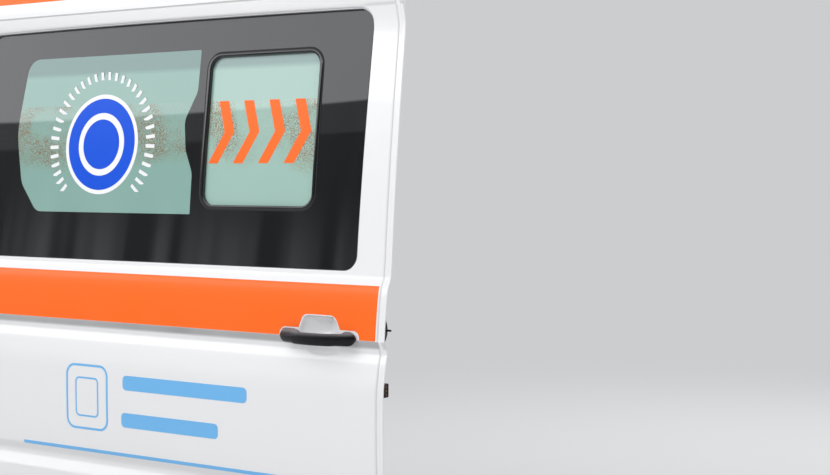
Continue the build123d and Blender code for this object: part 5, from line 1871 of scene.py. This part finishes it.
# Upper arm: a welded angle of coated steel on the inner panel's top corner, with one roller that
# hangs into the rail over the opening.
UPPER_AXLE = (0.054, -0.030)
upper_flange = pulled_in(rounded_box((0.014, 0.094, 1.772, 1.862), 0.006), 0.0012)
upper = pressed_sheet(
    "upper_arm_flange", [upper_flange], inner_face, ARM_THICK, (),
    {0: round_rim(ARM_THICK, 0.0012, 3)}
)
fit(upper, coated, "door", ["upper_arm"])
upper_bend = arc(UPPER_AXLE, 0.016, 180, 0)[1:-1]
upper_web = [(0.018, -0.0855), (0.038, -0.030), *upper_bend, (0.070, -0.030), (0.090, -0.0855)]
plate("upper_arm_web", upper_web, 1.856, 1.862, coated, place=FLAT, radius=0.0012)
rib = rounded_polygon(mm((-85, 1800), (-85, 1857), (-42, 1857)), (0.004, 0.003, 0.004), 5)
plate("upper_arm_rib", rib, 0.0515, 0.0565, coated, place=ENDS)
upper_spots = [
    (x, float(inner_at(z)) + ARM_THICK, z) for z in (1.787, 1.838) for x in (0.028, 0.080)
]
fasteners("upper_arm_bolts", bolt_head, upper_spots, (0.0, 1.0, -0.042), zinc)
upper_weld = [(x, -0.0816, z) for x in np.arange(0.021, 0.088, WELD_STEP) for z in (1.8552, 1.8625)]
domes("upper_arm_weld", upper_weld, (0, 1, 0), *WELD_DROP)
upper_rows = mm(
    (0.3, 1836.4), (6.2, 1836.4), (7, 1837), (7, 1839), (6.6, 1839.4), (4, 1839.4), (4, 1860),
    (0.3, 1860)
)
turned("upper_arm_axle", upper_rows, (*UPPER_AXLE, 0.0), "Z", zinc)
nut_rows = mm((0.3, 1861.8), (8.5, 1861.8), (8.5, 1864), (7, 1865.2), (4, 1865.6), (0.3, 1865.6))
turned("upper_arm_axle_nut", nut_rows, (*UPPER_AXLE, 0.0), "Z", zinc)
roller("upper", "upper_roller", (*UPPER_AXLE, 1.8477), "Z", 0.016, 0.008, 0.00405, "upper_roller")

# Middle bracket and arm: a zinc-plated steel hinge on the rear shut face, whose arm reaches back to
# a small carriage with one load roller and two guide rollers that run in the rail along the body's
# side.
PIVOT = (-1.310, -0.162)
MIDDLE_Z = 0.740
CARRIAGE = (-1.440, -0.142)
bracket_low = float(skin_at(MIDDLE_Z)) + 0.020
flange = rounded_box((bracket_low, -0.194, 0.690, 0.790), 0.008)
bracket = plate("middle_bracket_flange", flange, -1.303, -1.298, zinc, place=ENDS)
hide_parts("middle_bracket")
ear = [
    (-1.303, -0.198), (-1.298, -0.198), (-1.298, -0.162), *arc(PIVOT, 0.012, 0, 180)[1:-1],
    (-1.322, -0.162)
]
pin_hole = circle(PIVOT, 0.006, 40)
for name, low in (("low", 0.706), ("high", 0.769)):
    plate(
        f"middle_bracket_ear_{name}", ear, low, low + 0.005, zinc, place=FLAT,
        holes=[pin_hole]
    )
bracket_spots = [(-1.3029, y, z) for y, z in ((-0.2230, 0.702), (-0.2230, 0.778), (-0.2080, 0.740))]
fasteners("middle_bracket_screws", screw_head, bracket_spots, (-1, 0, 0), zinc, 0.95)
pin_rows = mm(
    (0.3, 703), (5, 703), (6, 704.2), (6, 774), (8.6, 774), (9, 774.5), (9, 775.8), (8, 776.8),
    (3, 777), (0.3, 776.8)
)
hinge_pin = turned("middle_hinge_pin", pin_rows, (*PIVOT, 0.0), "Z", grease)
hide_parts("middle_pin")
knuckle_rows = mm(
    (6.05, -28.3), (7, -28.7), (11.2, -28.7), (12, -27.9), (12, 27.9), (11.2, 28.7), (7, 28.7),
    (6.05, 28.3)
)
knuckle = turned(
    "middle_arm_knuckle", knuckle_rows, (*PIVOT, MIDDLE_Z), "Z", zinc, "middle_arm",
    True
)
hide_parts("middle_arm")
beam_rings = []
for t in np.concatenate((np.linspace(0.0, 0.12, 3), np.linspace(0.18, 0.92, 17), (0.96, 1.0))):
    x = PIVOT[0] - 0.008 + (CARRIAGE[0] + 0.016 - PIVOT[0]) * t
    y = PIVOT[1] + (CARRIAGE[1] - 0.0035 - PIVOT[1]) * float(soft_step(t, 0.0, 1.0))
    half_z = 0.018 - 0.0025 * math.sin(math.pi * t)
    half_y = 0.0058 - 0.0018 * float(soft_step(t, 0.1, 0.9))
    beam_rings.append([(x, y + a, MIDDLE_Z + b) for a, b in squircle(half_y, half_z, 4.0)])
lofted("middle_arm_beam", beam_rings, zinc, "middle_arm")
CARRIAGE_TOP = 0.768
carriage_face = rounded_box((-1.472, -1.408, 0.716, 0.7665), 0.007)
plate("middle_carriage_plate", carriage_face, -0.146, CARRIAGE[1], zinc, "middle_arm")
carriage_cap = rounded_box((-1.472, -1.408, -0.1455, -0.126), 0.005)
plate(
    "middle_carriage_top", carriage_cap, CARRIAGE_TOP - 0.004, CARRIAGE_TOP, zinc,
    "middle_arm", FLAT
)
load_rows = mm(
    (0.3, -147.5), (6, -147.5), (7, -146.5), (7, -138.3), (4, -138.3), (4, -125.7), (6.6, -125.7),
    (7, -125.2), (7, -123.6), (6, -122.7), (0.3, -122.7),
)
turned(
    "middle_load_axle", load_rows, (CARRIAGE[0], 0.0, 0.731), "Y", zinc, "middle_arm"
)
guide_rows = mm(
    (0.3, 764.5), (5.8, 764.5), (5.8, 767.9), (4, 768.2), (4, 779.6), (6.6, 779.6), (7, 780),
    (7, 781.6), (6, 782.6), (0.3, 782.6),
)
ROLLER_Y = -0.132
for name, x in (("front", -1.416), ("rear", -1.464)):
    turned(
        f"middle_guide_axle_{name}", guide_rows, (x, ROLLER_Y, 0.0), "Z", zinc,
        "middle_arm"
    )
load = (
    "middle_load", "middle_load_roller", (CARRIAGE[0], ROLLER_Y, 0.731), "Y", 0.015, 0.006, 0.00405
)
roller(*load, "middle_load_roller")
for name, x in (("front", -1.416), ("rear", -1.464)):
    guide = (
        f"middle_guide_{name}", f"middle_guide_{name}", (x, ROLLER_Y, 0.7738), "Z", 0.010, 0.0055,
        0.00405
    )
    roller(*guide, f"middle_guide_roller_{name}")

bpy.data.objects.remove(bolt_head)
bpy.data.objects.remove(screw_head)

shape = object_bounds()
